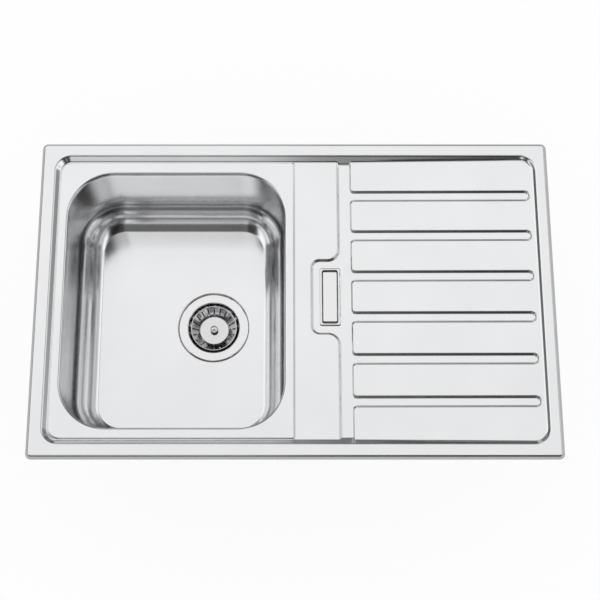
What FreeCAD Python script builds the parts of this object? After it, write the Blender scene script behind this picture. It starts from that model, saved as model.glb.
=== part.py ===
"""An inset kitchen sink in pressed steel: one bowl, a platform strip with an overflow, and a drainer.

Units are millimetres. The frame has its origin at the centre of the worktop cut-out, on the worktop's
top surface, +X towards the drainer, +Y towards the wall and +Z up.
"""
import FreeCAD, Part
import math
import os
import Sketcher

# Driving dimensions. Each one is a cell of the document's sheet, with its name as the alias.
SIZES = {
    # rim of the deck
    "sink_length": 790.0,
    "sink_width": 500.0,
    "sheet": 0.8,
    "rim_rise": 6.5,
    "rim_bevel": 4.6,
    "corner_radius": 8.5,
    "cutout_margin": 10.0,
    "rim_left": 22.0,
    "rim_right": 19.0,
    "rim_side": 22.0,
    # recess that holds the water, and the raised island round the bowl
    "recess_radius": 25.0,
    "recess_depth": 8.0,
    "recess_run": 7.6,
    "moat_width": 2.4,
    "island_rise": 2.0,
    "island_run": 2.0,
    "island_radius": 17.0,
    "island_end_radius": 3.0,
    # platform, collector channel and drainer
    "platform_length": 68.2,
    "collector_width": 21.9,
    "collector_depth": 3.0,
    "collector_run": 2.8,
    "drainer_rise": 2.5,
    "channel_count": 6,
    "channel_pitch": 65.2,
    "channel_width": 16.8,
    "channel_depth": 2.6,
    "channel_run": 2.6,
    "channel_margin": 10.5,
    # notch of the platform that holds the overflow
    "notch_reach": 41.3,
    "notch_width": 118.8,
    "notch_radius": 13.1,
    "notch_mouth_radius": 16.4,
    # bowl
    "bowl_length": 334.0,
    "bowl_radius": 70.0,
    "bowl_depth": 175.0,
    "bowl_border": 13.2,
    "bowl_ledge": 13.8,
    "bowl_back_border": 19.5,
    "bowl_front_border": 15.5,
    "bowl_draft": 2.0,
    "bowl_floor_radius": 33.0,
    "mouth_radius": 4.5,
    "lip_length": 10.0,
    # drain seat in the bowl floor
    "drain_shift": 51.1,
    "drain_hole_gap": 2.1,
    "dish_depth": 2.5,
    "dish_gap": 0.7,
    # waste flange and cup
    "flange_land": 14.9,
    "flange_sheet": 1.2,
    "cup_radius": 41.9,
    "cup_sheet": 1.0,
    "cup_straight": 10.0,
    "seat_radius": 31.0,
    "seat_depth": 24.0,
    "throat_radius": 20.0,
    "sump_drop": 10.0,
    "sump_hole_count": 6,
    "sump_hole_radius": 4.5,
    "sump_hole_border": 3.0,
    "top_gasket_thickness": 1.0,
    "lower_gasket_thickness": 3.0,
    "gasket_margin": 1.3,
    # strainer basket, knob, stem and seal
    "basket_gap": 4.4,
    "basket_disc_radius": 23.3,
    "basket_sheet": 0.8,
    "basket_top_depth": 3.0,
    "basket_lift": 6.5,
    "slot_count": 20,
    "slot_width": 2.0,
    "slot_border": 1.3,
    "knob_radius": 6.2,
    "knob_neck_wall": 1.6,
    "knob_height": 7.5,
    "stem_radius": 3.0,
    "stem_clearance": 0.05,
    "stem_reach": 5.0,
    "stem_foot_gap": 1.0,
    "stem_collar_radius": 5.0,
    "stem_collar_height": 1.5,
    "seal_inner_radius": 8.0,
    "seal_margin": 3.0,
    "seal_thickness": 2.0,
    "seal_gap": 0.3,
    # clamp screw and threaded insert of the waste
    "clamp_head_radius": 7.0,
    "clamp_head_height": 9.0,
    "clamp_screw_radius": 3.0,
    "clamp_screw_stop": 2.0,
    "insert_radius": 5.0,
    "insert_length": 8.0,
    # plastic body below the bowl
    "body_flange_margin": 0.2,
    "body_flange_thickness": 4.0,
    "body_wall": 3.0,
    "chamber_gap": 4.0,
    "chamber_drop": 5.0,
    "chamber_floor_depth": 60.0,
    "chamber_cone_depth": 6.0,
    "outlet_radius": 23.9,
    "outlet_wall": 4.4,
    "outlet_length": 30.0,
    "hub_radius": 8.0,
    "hub_height": 11.0,
    "hub_rib_count": 4,
    "hub_rib_width": 2.5,
    "hub_rib_height": 5.0,
    # overflow plate and frame
    "overflow_inset": 12.55,
    "frame_end_land": 3.9,
    "frame_side_land": 4.15,
    "frame_height": 2.0,
    "frame_radius": 3.0,
    "plate_length": 79.0,
    "plate_width": 21.3,
    "plate_thickness": 1.2,
    "plate_radius": 1.8,
    "plate_gap": 1.2,
    "plate_end_gap": 2.4,
    "plate_foot_radius": 1.2,
    "plate_foot_place": 8.0,
    "skirt_wall": 0.8,
    "skirt_depth": 1.6,
    "skirt_gap": 0.3,
    "bar_width": 8.0,
    "bar_height": 1.2,
    "bar_place": 22.0,
    "overflow_screw_radius": 2.0,
    "overflow_screw_length": 16.0,
    "overflow_head_radius": 3.6,
    "overflow_head_height": 1.0,
    "overflow_hole_gap": 0.1,
    # overflow housing, pipe and fittings
    "overflow_gasket_thickness": 2.0,
    "housing_margin": 5.0,
    "housing_wall": 2.0,
    "housing_flange": 3.0,
    "housing_depth": 18.7,
    "boss_radius": 4.0,
    "spigot_gap": 0.3,
    "spigot_wall": 2.5,
    "spigot_length": 18.0,
    "pipe_radius": 10.0,
    "pipe_wall": 1.5,
    "pipe_bend_radius": 30.0,
    "pipe_insertion": 10.0,
    "pipe_drop": 16.0,
    "fitting_seal_length": 3.0,
    "nut_wall": 4.2,
    "nut_overlap": 8.0,
    "nut_lip": 2.0,
    "nut_lip_gap": 0.4,
    "nut_rib_count": 12,
    "nut_rib_width": 3.0,
    "nut_rib_rise": 1.0,
    # rim seal and damping pads
    "rim_seal_width": 4.2,
    "rim_seal_gap": 0.4,
    "rim_seal_radius": 3.0,
    "pad_thickness": 2.0,
    "bowl_pad_border": 13.6,
    "bowl_pad_width": 200.0,
    "bowl_pad_gap": 12.0,
    "drainer_pad_width": 40.0,
    "drainer_pad_start": 55.0,
    "drainer_pad_end": 53.5,
    # worktop clamps
    "clamp_end_margin": 105.0,
    "clamp_inset": 17.0,
    "bracket_width": 30.0,
    "bracket_sheet": 1.5,
    "bracket_offset": 9.0,
    "bracket_tail": 9.0,
    "bracket_depth": 14.0,
    "bolt_radius": 2.5,
    "bolt_gap": 0.08,
    "bolt_top_depth": 8.0,
    "bolt_length": 50.0,
    "bolt_head_radius": 4.5,
    "bolt_head_height": 3.5,
    "jaw_width": 12.0,
    "jaw_length": 28.0,
    "jaw_thickness": 2.5,
    "jaw_tooth": 6.0,
    "jaw_lift": 0.3,
    # how far a cutting shape runs past what it cuts
    "overrun": 2.0,
}

doc = FreeCAD.newDocument("kitchen_sink")
sheet_object = doc.addObject("Spreadsheet::Sheet", "Sizes")
PARTS = {}


class Size:
    """A length, count or angle: its number now, and the formula that keeps it tied to the sheet."""

    def __init__(self, text, value):
        self.text = text
        self.value = value

    def joined(self, sign, other, value):
        return Size("(%s %s %s)" % (self.text, sign, other.text), value)

    def __add__(self, other):
        other = as_size(other)
        return self.joined("+", other, self.value + other.value)

    def __sub__(self, other):
        other = as_size(other)
        return self.joined("-", other, self.value - other.value)

    def __mul__(self, other):
        other = as_size(other)
        return self.joined("*", other, self.value * other.value)

    def __truediv__(self, other):
        other = as_size(other)
        return self.joined("/", other, self.value / other.value)

    def __neg__(self):
        return NOTHING - self


def as_size(value):
    """A plain factor or zero as a Size."""
    if isinstance(value, Size):
        return value
    return Size(repr(value), value)


NOTHING = Size("0", 0.0)


def fill_sheet():
    """Writes the sizes into the sheet and returns them by name."""
    sizes = {}
    for row, (name, value) in enumerate(SIZES.items(), start=1):
        sheet_object.set("A%d" % row, name)
        sheet_object.set("B%d" % row, str(value))
        sheet_object.setAlias("B%d" % row, name)
        sizes[name] = Size("Sizes." + name, value)
    doc.recompute()
    return type("Dimensions", (), sizes)


d = fill_sheet()


def hypotenuse(run, drop):
    text = "sqrt(%s * %s + %s * %s)" % (run.text, run.text, drop.text, drop.text)
    return Size(text, math.hypot(run.value, drop.value))


def slope(run, drop):
    """The angle of a wall from the direction that it is drawn along."""
    ratio = run / drop
    return Size("atan(%s)" % ratio.text, math.degrees(math.atan(ratio.value)))


def fold_shift(skin, run, drop):
    """How far a fold line moves sideways on the other side of the sheet."""
    return skin * (hypotenuse(run, drop) - run) / drop


def face_shift(skin, run, drop):
    """How far a sloped wall moves sideways at one height on the other side of the sheet."""
    return skin * hypotenuse(run, drop) / drop


# Sizes and places worked out from the driving dimensions
RECESS_LENGTH = d.sink_length - d.rim_left - d.rim_right
RECESS_WIDTH = d.sink_width - d.rim_side * 2
RECESS_SHIFT = (d.rim_left - d.rim_right) / 2
RECESS_LEFT = RECESS_SHIFT - RECESS_LENGTH / 2
RECESS_RIGHT = RECESS_SHIFT + RECESS_LENGTH / 2
RECESS_FLOOR = d.rim_rise - d.recess_depth
CUTOUT_LENGTH = d.sink_length - d.cutout_margin * 2
CUTOUT_WIDTH = d.sink_width - d.cutout_margin * 2
CLAMP_SPACING = CUTOUT_LENGTH / 2 - d.clamp_end_margin

ISLAND_LEFT = RECESS_LEFT + d.recess_run + d.moat_width
ISLAND_WIDTH = RECESS_WIDTH - (d.recess_run + d.moat_width) * 2
ISLAND_TOP = RECESS_FLOOR + d.island_rise
BOWL_LEFT = ISLAND_LEFT + d.bowl_border
BOWL_WIDTH = ISLAND_WIDTH - d.bowl_back_border - d.bowl_front_border
BOWL_CENTRE = BOWL_LEFT + d.bowl_length / 2
BOWL_SHIFT = (d.bowl_front_border - d.bowl_back_border) / 2
BOWL_FLOOR = d.rim_rise - d.bowl_depth
LIP_FOOT = ISLAND_TOP - d.lip_length

ISLAND_RIGHT = BOWL_LEFT + d.bowl_length + d.bowl_ledge
PLATFORM_END = ISLAND_RIGHT + d.platform_length
DRAINER_START = PLATFORM_END + d.collector_width
COLLECTOR_FLOOR = RECESS_FLOOR - d.collector_depth
DRAINER_SLOPE = slope(d.drainer_rise, RECESS_RIGHT - DRAINER_START)

# The strainer's pieces fit the cup of the flange, and the plastic body fits round its seat
DRAIN_X = BOWL_CENTRE + d.drain_shift
DRAIN_HOLE_RADIUS = d.cup_radius + d.cup_sheet + d.drain_hole_gap
FLANGE_RADIUS = d.cup_radius + d.flange_land
DISH_RADIUS = FLANGE_RADIUS + d.dish_gap
SUMP_DEPTH = d.seat_depth + d.sump_drop
BASKET_RADIUS = d.cup_radius - d.basket_gap
BASKET_FLOOR_DEPTH = d.seat_depth - d.basket_lift
KNOB_CENTRE_DEPTH = BASKET_FLOOR_DEPTH - d.knob_height
STEM_TOP_DEPTH = BASKET_FLOOR_DEPTH - d.stem_reach
STEM_FOOT_DEPTH = SUMP_DEPTH - d.stem_foot_gap
SEAL_LIP_RADIUS = d.seat_radius - d.seal_margin
BODY_FLANGE_RADIUS = FLANGE_RADIUS + d.body_flange_margin
CHAMBER_RADIUS = d.seat_radius + d.chamber_gap
CHAMBER_TOP_DEPTH = d.seat_depth + d.chamber_drop
OUTLET_BORE_RADIUS = d.outlet_radius - d.outlet_wall
INSERT_DEPTH = d.chamber_floor_depth - d.insert_length
CLAMP_SCREW_LENGTH = d.chamber_floor_depth - SUMP_DEPTH - d.clamp_screw_stop

# The overflow's frame goes round its plate, and its spigots and nuts go round the pipe
OVERFLOW_X = PLATFORM_END - d.overflow_inset
OPENING_LENGTH = d.plate_length + d.plate_end_gap * 2
OPENING_WIDTH = d.plate_width + d.plate_gap * 2
FRAME_LENGTH = OPENING_LENGTH + d.frame_end_land * 2
FRAME_WIDTH = OPENING_WIDTH + d.frame_side_land * 2
SPIGOT_BORE_RADIUS = d.pipe_radius + d.spigot_gap
SPIGOT_RADIUS = SPIGOT_BORE_RADIUS + d.spigot_wall
NUT_RADIUS = SPIGOT_RADIUS + d.nut_wall
HOUSING_TOP = COLLECTOR_FLOOR - d.sheet - d.overflow_gasket_thickness
PIPE_TOP = HOUSING_TOP - d.housing_depth - d.spigot_length
PIPE_DEPTH = CHAMBER_TOP_DEPTH + d.pipe_drop
PIPE_LEVEL = BOWL_FLOOR - PIPE_DEPTH
SPIGOT_END = DRAIN_X + CHAMBER_RADIUS + d.body_wall + d.spigot_length

# How near a line lies to a height to count as lying at it
TOLERANCE = 0.01


def drainer_height(distance):
    """The height of the sloped drainer at a distance from its low edge."""
    return RECESS_FLOOR + d.drainer_rise * distance / (RECESS_RIGHT - DRAINER_START)


def bind(item, name, size):
    """Ties one property of an object to the sheet."""
    size = as_size(size)
    if size.text != "0":
        item.setExpression(name, size.text)


def place(item, x=NOTHING, y=NOTHING, z=NOTHING, turn=None, angle=0.0):
    """Puts an object at a bound place, turned by a set angle about an axis."""
    if turn is not None:
        item.Placement = FreeCAD.Placement(FreeCAD.Vector(), FreeCAD.Rotation(FreeCAD.Vector(*turn), angle))
    for axis, value in zip("xyz", (x, y, z)):
        bind(item, "Placement.Base." + axis, value)
    return item


def keep(item, label):
    """Marks an object as one finished sub-part."""
    item.Label = label
    PARTS[label] = item
    return item


def new_body(name):
    return doc.addObject("PartDesign::Body", name)


def new_sketch(body, name, role="XY_Plane", x=NOTHING, y=NOTHING, z=NOTHING):
    """A sketch on one of the body's own planes, with its centre at a bound place."""
    sketch = body.newObject("Sketcher::SketchObject", body.Name + "_" + name)
    plane = [item for item in body.Origin.OriginFeatures if item.Role == role][0]
    sketch.AttachmentSupport = (plane, "")
    sketch.MapMode = "FlatFace"
    for axis, value in zip("xyz", (x, y, z)):
        bind(sketch, "AttachmentOffset.Base." + axis, value)
    return sketch


def line(sketch, start, end):
    return sketch.addGeometry(Part.LineSegment(FreeCAD.Vector(*start, 0), FreeCAD.Vector(*end, 0)), False)


def arc(sketch, centre, radius, start, end):
    circle = Part.Circle(FreeCAD.Vector(*centre, 0), FreeCAD.Vector(0, 0, 1), radius)
    return sketch.addGeometry(Part.ArcOfCircle(circle, math.radians(start), math.radians(end)), False)


def constrain(sketch, *values):
    return sketch.addConstraint(Sketcher.Constraint(*values))


def measure(sketch, kind, geometry, size):
    """A dimension of the sketch, tied to the sheet."""
    index = constrain(sketch, kind, *geometry, size.value)
    sketch.setExpression("Constraints[%d]" % index, size.text)


def hold_point(sketch, index, x, y):
    """Holds the start of a line at a bound distance from the sketch's origin."""
    for kind, axis, value in (("DistanceX", -2, as_size(x)), ("DistanceY", -1, as_size(y))):
        if value.text == "0":
            constrain(sketch, "PointOnObject", index, 1, axis)
        else:
            measure(sketch, kind, (-1, 1, index, 1), value)


def draw_outline(sketch, points):
    """A closed outline of straight lines through the points."""
    corners = [(as_size(x).value, as_size(y).value) for x, y in points]
    count = len(points)
    for index in range(count):
        line(sketch, corners[index], corners[(index + 1) % count])
    for index in range(count):
        constrain(sketch, "Coincident", index, 2, (index + 1) % count, 1)
    for index, (x, y) in enumerate(points):
        hold_point(sketch, index, x, y)


def draw_circle(sketch, radius, x=NOTHING, y=NOTHING):
    centre = FreeCAD.Vector(x.value, y.value, 0)
    index = sketch.addGeometry(Part.Circle(centre, FreeCAD.Vector(0, 0, 1), radius.value), False)
    for kind, axis, value in (("DistanceX", -2, x), ("DistanceY", -1, y)):
        if value.text == "0":
            constrain(sketch, "PointOnObject", index, 3, axis)
        else:
            measure(sketch, kind, (-1, 1, index, 3), value)
    measure(sketch, "Radius", (index,), radius)


def draw_rounded(sketch, length, width, radius, end_radius=None):
    """A rounded rectangle about the sketch's origin, with its own radius at the +X end if one is given."""
    end_radius = end_radius or radius
    a, b = length.value / 2, width.value / 2
    r, e = radius.value, end_radius.value
    first = sketch.GeometryCount
    line(sketch, (-a + r, -b), (a - e, -b))
    line(sketch, (a, -b + e), (a, b - e))
    line(sketch, (a - e, b), (-a + r, b))
    line(sketch, (-a, b - r), (-a, -b + r))
    arc(sketch, (a - e, -b + e), e, -90, 0)
    arc(sketch, (a - e, b - e), e, 0, 90)
    arc(sketch, (-a + r, b - r), r, 90, 180)
    arc(sketch, (-a + r, -b + r), r, 180, 270)
    for side in range(4):
        corner = first + 4 + side
        constrain(sketch, "Tangent", first + side, 2, corner, 1)
        constrain(sketch, "Tangent", corner, 2, first + (side + 1) % 4, 1)
        constrain(sketch, "Vertical" if side % 2 else "Horizontal", first + side)
    constrain(sketch, "Equal", first + 4, first + 5)
    constrain(sketch, "Equal", first + 6, first + 7)
    measure(sketch, "Radius", (first + 4,), end_radius)
    measure(sketch, "Radius", (first + 6,), radius)
    measure(sketch, "DistanceX", (first + 3, 1, first + 1, 1), length)
    measure(sketch, "DistanceY", (first, 1, first + 2, 1), width)
    measure(sketch, "DistanceX", (first + 3, 1, -1, 1), length / 2)
    measure(sketch, "DistanceY", (first, 1, -1, 1), width / 2)


def feature(sketch, kind, name, **values):
    """A feature of the sketch's body, with its bound values."""
    body = sketch.getParentGeoFeatureGroup()
    item = body.newObject("PartDesign::" + kind, sketch.Name + "_" + name)
    item.Profile = sketch
    for key, value in values.items():
        if isinstance(value, Size):
            bind(item, key, value)
        else:
            setattr(item, key, value)
    body.Tip = item
    return item


def pad(sketch, length, taper=NOTHING, down=False):
    return feature(sketch, "Pad", "pad", Length=length, TaperAngle=taper, Reversed=down)


def pocket(sketch, length, up=False):
    """A cut down from the sketch's plane, or up from it."""
    return feature(sketch, "Pocket", "pocket", Length=length, Reversed=up)


def turn_solid(sketch):
    return feature(sketch, "Revolution", "turn", ReferenceAxis=(sketch, ["V_Axis"]), Angle=360)


def turn_cut(sketch):
    return feature(sketch, "Groove", "cut", ReferenceAxis=(sketch, ["V_Axis"]), Angle=360)


def repeat_round(item, count):
    """Copies a feature evenly round its sketch's normal."""
    body = item.getParentGeoFeatureGroup()
    pattern = body.newObject("PartDesign::PolarPattern", item.Name + "_round")
    pattern.Originals = [item]
    pattern.Axis = (item.Profile[0], ["N_Axis"])
    pattern.Angle = 360
    bind(pattern, "Occurrences", count)
    body.Tip = pattern
    return pattern


def turned_body(name, points):
    """A body of revolution about its own Z axis, from an outline of radius and height."""
    body = new_body(name)
    sketch = new_sketch(body, "profile", "XZ_Plane")
    draw_outline(sketch, points)
    turn_solid(sketch)
    return body


def ring_body(name, outer, inner, height, down=False):
    """A flat ring that starts at its own XY plane."""
    body = new_body(name)
    sketch = new_sketch(body, "ring")
    draw_circle(sketch, outer)
    draw_circle(sketch, inner)
    pad(sketch, height, down=down)
    return body


def box(name, length, width, height, x, y, z):
    item = doc.addObject("Part::Box", name)
    bind(item, "Length", length)
    bind(item, "Width", width)
    bind(item, "Height", height)
    return place(item, x, y, z)


def cylinder(name, radius, height, x=NOTHING, y=NOTHING, z=NOTHING):
    item = doc.addObject("Part::Cylinder", name)
    bind(item, "Radius", radius)
    bind(item, "Height", height)
    return place(item, x, y, z)


def fuse(name, *items):
    joined = doc.addObject("Part::MultiFuse", name)
    joined.Shapes = list(items)
    return joined


def cut(name, base, tool):
    result = doc.addObject("Part::Cut", name)
    result.Base = base
    result.Tool = tool
    return result


def common(name, first, second):
    result = doc.addObject("Part::Common", name)
    result.Base = first
    result.Tool = second
    return result


def group(name, items):
    """Separate like solids that share one name."""
    bundle = doc.addObject("Part::Compound", name)
    bundle.Links = list(items)
    return bundle


def rim_block(name, skin):
    """The rim's bevelled slab with the root block under the recess."""
    shift = face_shift(skin, d.rim_bevel, d.rim_rise)
    slab = new_body(name + "_slab")
    sketch = new_sketch(slab, "outline")
    draw_rounded(sketch, d.sink_length - shift * 2, d.sink_width - shift * 2, d.corner_radius - shift)
    pad(sketch, d.rim_rise - skin, lean_in(d.rim_bevel, d.rim_rise))
    root = box(name + "_root", RECESS_LENGTH + skin * 2, RECESS_WIDTH + skin * 2,
               d.rim_rise / 2 + skin - LIP_FOOT,
               RECESS_LEFT - skin, -RECESS_WIDTH / 2 - skin, LIP_FOOT - skin)
    return fuse(name + "_block", slab, root)


def lean_in(run, drop):
    """The taper of a wall that closes in along its pad."""
    return slope(NOTHING - run, drop)


def lean_out(run, drop):
    """The taper of a wall that opens along its pad."""
    return slope(run, drop)


def recess_tool(name, skin):
    """The volume over the deck's floor: sloped walls all round, and a stepped floor."""
    shift = face_shift(skin, d.recess_run, d.recess_depth)
    walls = new_body(name + "_walls")
    sketch = new_sketch(walls, "outline", x=RECESS_SHIFT, z=d.rim_rise)
    draw_rounded(sketch, RECESS_LENGTH + shift * 2, RECESS_WIDTH + shift * 2, d.recess_radius + shift)
    depth = d.recess_depth + d.collector_depth + skin + d.overrun
    pad(sketch, depth, lean_in(d.recess_run, d.recess_depth), down=True)

    fold = fold_shift(skin, d.collector_run, d.collector_depth)
    left = RECESS_LEFT - d.overrun
    right = RECESS_RIGHT + d.overrun
    low = COLLECTOR_FLOOR - skin
    middle = RECESS_FLOOR - skin
    top = d.rim_rise + d.overrun
    floor = new_body(name + "_floor")
    profile = new_sketch(floor, "profile", "XZ_Plane", z=-d.sink_width / 2)
    draw_outline(profile, [
        (left, middle),
        (PLATFORM_END - fold, middle),
        (PLATFORM_END + d.collector_run - fold, low),
        (DRAINER_START - d.collector_run + fold, low),
        (DRAINER_START + fold, drainer_height(fold) - skin),
        (right, drainer_height(right - DRAINER_START) - skin),
        (right, top),
        (left, top)])
    pad(profile, d.sink_width)
    return common(name + "_recess", walls, floor)


def island_form(name, skin):
    """The raised land round the bowl."""
    shift = fold_shift(skin, d.island_run, d.island_rise)
    length = ISLAND_RIGHT - ISLAND_LEFT
    body = new_body(name + "_island")
    sketch = new_sketch(body, "outline", x=(ISLAND_LEFT + ISLAND_RIGHT) / 2, z=ISLAND_TOP - skin)
    draw_rounded(sketch, length - shift * 2, ISLAND_WIDTH - shift * 2,
                 d.island_radius - shift, d.island_end_radius - shift)
    pad(sketch, d.island_rise + d.overrun, lean_out(d.island_run, d.island_rise), down=True)
    return body


def notch_tool(name, skin):
    """The overflow's notch: round inner corners, and a flared mouth into the collector."""
    shift = fold_shift(skin, d.collector_run, d.collector_depth)
    body = new_body(name + "_notch")
    sketch = new_sketch(body, "outline", x=PLATFORM_END, z=RECESS_FLOOR - skin)
    half = d.notch_width / 2 + shift
    back = d.notch_reach + shift
    inner = d.notch_radius + shift
    flare = d.notch_mouth_radius - shift
    edge = d.collector_width / 2
    lip = -shift
    w, r, f = half.value, inner.value, flare.value
    x0, x1, x2 = -back.value, lip.value, edge.value
    line(sketch, (x0, w - r), (x0, -w + r))
    arc(sketch, (x0 + r, -w + r), r, 180, 270)
    line(sketch, (x0 + r, -w), (x1 - f, -w))
    arc(sketch, (x1 - f, -w - f), f, 0, 90)
    line(sketch, (x1, -w - f), (x2, -w - f))
    line(sketch, (x2, -w - f), (x2, w + f))
    line(sketch, (x2, w + f), (x1, w + f))
    arc(sketch, (x1 - f, w + f), f, 270, 360)
    line(sketch, (x1 - f, w), (x0 + r, w))
    arc(sketch, (x0 + r, w - r), r, 90, 180)
    constrain(sketch, "Tangent", 0, 2, 1, 1)
    constrain(sketch, "Tangent", 1, 2, 2, 1)
    constrain(sketch, "Tangent", 2, 2, 3, 2)
    constrain(sketch, "Coincident", 3, 1, 4, 1)
    constrain(sketch, "Coincident", 4, 2, 5, 1)
    constrain(sketch, "Coincident", 5, 2, 6, 1)
    constrain(sketch, "Coincident", 6, 2, 7, 2)
    constrain(sketch, "Tangent", 7, 1, 8, 1)
    constrain(sketch, "Tangent", 8, 2, 9, 1)
    constrain(sketch, "Tangent", 9, 2, 0, 1)
    for index in (2, 4, 6, 8):
        constrain(sketch, "Horizontal", index)
    for index in (0, 5):
        constrain(sketch, "Vertical", index)
    for arc_index, end in ((3, 1), (7, 2)):
        constrain(sketch, "Horizontal", arc_index, 3, arc_index, end)
    constrain(sketch, "Equal", 1, 9)
    constrain(sketch, "Equal", 3, 7)
    measure(sketch, "Radius", (1,), inner)
    measure(sketch, "Radius", (3,), flare)
    measure(sketch, "DistanceX", (0, 1, -1, 1), back)
    measure(sketch, "DistanceX", (-1, 1, 5, 1), edge)
    measure(sketch, "DistanceX", (0, 1, 4, 1), back + lip)
    measure(sketch, "DistanceY", (2, 1, -1, 1), half)
    measure(sketch, "DistanceY", (-1, 1, 8, 1), half)
    pad(sketch, d.collector_depth, lean_in(d.collector_run, d.collector_depth), down=True)
    return body


def channel_tool(name, skin):
    """The drainer's channels, cut down from the sloped drainer, each with a round far end."""
    shift = fold_shift(skin, d.channel_run, d.channel_depth)
    body = new_body(name + "_channels")
    first = -(d.channel_count - 1) * d.channel_pitch / 2
    sketch = new_sketch(body, "outline", y=first)
    width = d.channel_width + shift * 2
    start = d.collector_width / 2
    reach = RECESS_RIGHT - d.channel_margin - DRAINER_START + shift
    w = width.value / 2
    turn_x = reach.value - w
    line(sketch, (-start.value, -w), (turn_x, -w))
    arc(sketch, (turn_x, 0), w, -90, 90)
    line(sketch, (turn_x, w), (-start.value, w))
    line(sketch, (-start.value, w), (-start.value, -w))
    constrain(sketch, "Tangent", 0, 2, 1, 1)
    constrain(sketch, "Tangent", 1, 2, 2, 1)
    constrain(sketch, "Coincident", 2, 2, 3, 1)
    constrain(sketch, "Coincident", 3, 2, 0, 1)
    constrain(sketch, "Horizontal", 0)
    constrain(sketch, "Horizontal", 2)
    constrain(sketch, "Vertical", 3)
    constrain(sketch, "PointOnObject", 1, 3, -1)
    measure(sketch, "Radius", (1,), width / 2)
    measure(sketch, "DistanceX", (0, 1, -1, 1), start)
    measure(sketch, "DistanceX", (-1, 1, 1, 3), reach - width / 2)
    channel = pad(sketch, d.channel_depth, lean_in(d.channel_run, d.channel_depth), down=True)
    pattern = body.newObject("PartDesign::LinearPattern", name + "_channel_row")
    pattern.Originals = [channel]
    pattern.Direction = (sketch, ["V_Axis"])
    bind(pattern, "Length", (d.channel_count - 1) * d.channel_pitch)
    bind(pattern, "Occurrences", d.channel_count)
    body.Tip = pattern
    on_drainer(body, NOTHING, NOTHING, -skin)
    return body


def on_drainer(item, x, y, z):
    """Lays an object on the sloped drainer, measured from the drainer's low edge."""
    place(item, DRAINER_START + x, y, RECESS_FLOOR + z, turn=(0, -1, 0), angle=DRAINER_SLOPE.value)
    bind(item, "Placement.Rotation.Angle", DRAINER_SLOPE)
    return item


def bowl_outline(sketch, skin):
    draw_rounded(sketch, d.bowl_length + skin * 2, BOWL_WIDTH + skin * 2, d.bowl_radius + skin)


def mouth_tool(name, skin):
    """The bowl's opening in the deck."""
    body = new_body(name + "_mouth")
    sketch = new_sketch(body, "outline", x=BOWL_CENTRE, y=BOWL_SHIFT, z=LIP_FOOT - d.overrun)
    bowl_outline(sketch, skin)
    pad(sketch, d.lip_length + d.overrun * 2)
    return body


def edges_at(shape, height):
    """The numbers of the edges that lie at one height."""
    numbers = []
    for number, edge in enumerate(shape.Edges, start=1):
        bounds = edge.BoundBox
        if abs(bounds.ZMin - height) < TOLERANCE and abs(bounds.ZMax - height) < TOLERANCE:
            numbers.append(number)
    return numbers


def mouth_edges(shape, height, skin):
    """The numbers of the edges of the bowl's opening at one height."""
    reach = d.bowl_length.value / 2 + skin.value + TOLERANCE
    depth = BOWL_WIDTH.value / 2 + skin.value + TOLERANCE
    numbers = []
    for number in edges_at(shape, height):
        middle = shape.Edges[number - 1].BoundBox.Center
        if abs(middle.x - BOWL_CENTRE.value) <= reach and abs(middle.y - BOWL_SHIFT.value) <= depth:
            numbers.append(number)
    return numbers


def deck_form(name, skin):
    """All below one side of the deck's sheet: its top side, or its under side if a skin is given."""
    block = cut(name + "_with_recess", rim_block(name, skin), recess_tool(name, skin))
    with_island = fuse(name + "_with_island", block, island_form(name, skin))
    notched = cut(name + "_with_notch", with_island, notch_tool(name, skin))
    ribbed = cut(name + "_with_channels", notched, channel_tool(name, skin))
    opened = cut(name + "_with_mouth", ribbed, mouth_tool(name, skin))
    doc.recompute()
    bend = d.mouth_radius - skin
    rounded = doc.addObject("Part::Fillet", name + "_with_bend")
    rounded.Base = opened
    rounded.Edges = [(number, bend.value, bend.value)
                     for number in mouth_edges(opened.Shape, (ISLAND_TOP - skin).value, skin)]
    return rounded


def build_deck():
    sheet = cut("deck_sheet", deck_form("deck_top", NOTHING), deck_form("deck_under", d.sheet))
    length, width = overflow_slot_size()
    slot = box("overflow_slot", length, width, d.collector_depth * 2,
               OVERFLOW_X - length / 2, -width / 2, COLLECTOR_FLOOR - d.collector_depth)
    keep(cut("sink_deck", sheet, slot), "sink_deck")


def bowl_form(name, skin):
    """The bowl's drafted walls and round floor edge, with the seat of the drain."""
    height = LIP_FOOT - BOWL_FLOOR
    body = new_body(name)
    sketch = new_sketch(body, "outline", x=BOWL_CENTRE, y=BOWL_SHIFT, z=LIP_FOOT)
    bowl_outline(sketch, skin)
    wall = pad(sketch, height + skin, lean_in(d.bowl_draft, height), down=True)
    doc.recompute()
    floor_edges = edges_at(wall.Shape, (BOWL_FLOOR - skin).value)
    round_edge = body.newObject("PartDesign::Fillet", name + "_floor_edge")
    round_edge.Base = (wall, ["Edge%d" % number for number in floor_edges])
    bind(round_edge, "Radius", d.bowl_floor_radius + skin)
    body.Tip = round_edge
    seat = new_sketch(body, "seat", x=DRAIN_X, y=BOWL_SHIFT, z=BOWL_FLOOR - d.dish_depth - skin)
    draw_circle(seat, DISH_RADIUS + skin)
    pad(seat, d.dish_depth + d.overrun)
    return body


def build_bowl():
    shell = cut("bowl_shell", bowl_form("bowl_outside", d.sheet), bowl_form("bowl_inside", NOTHING))
    hole = cylinder("drain_hole", DRAIN_HOLE_RADIUS, d.dish_depth * 4, DRAIN_X, BOWL_SHIFT,
                    BOWL_FLOOR - d.dish_depth * 3)
    keep(cut("sink_bowl", shell, hole), "sink_bowl")


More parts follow.
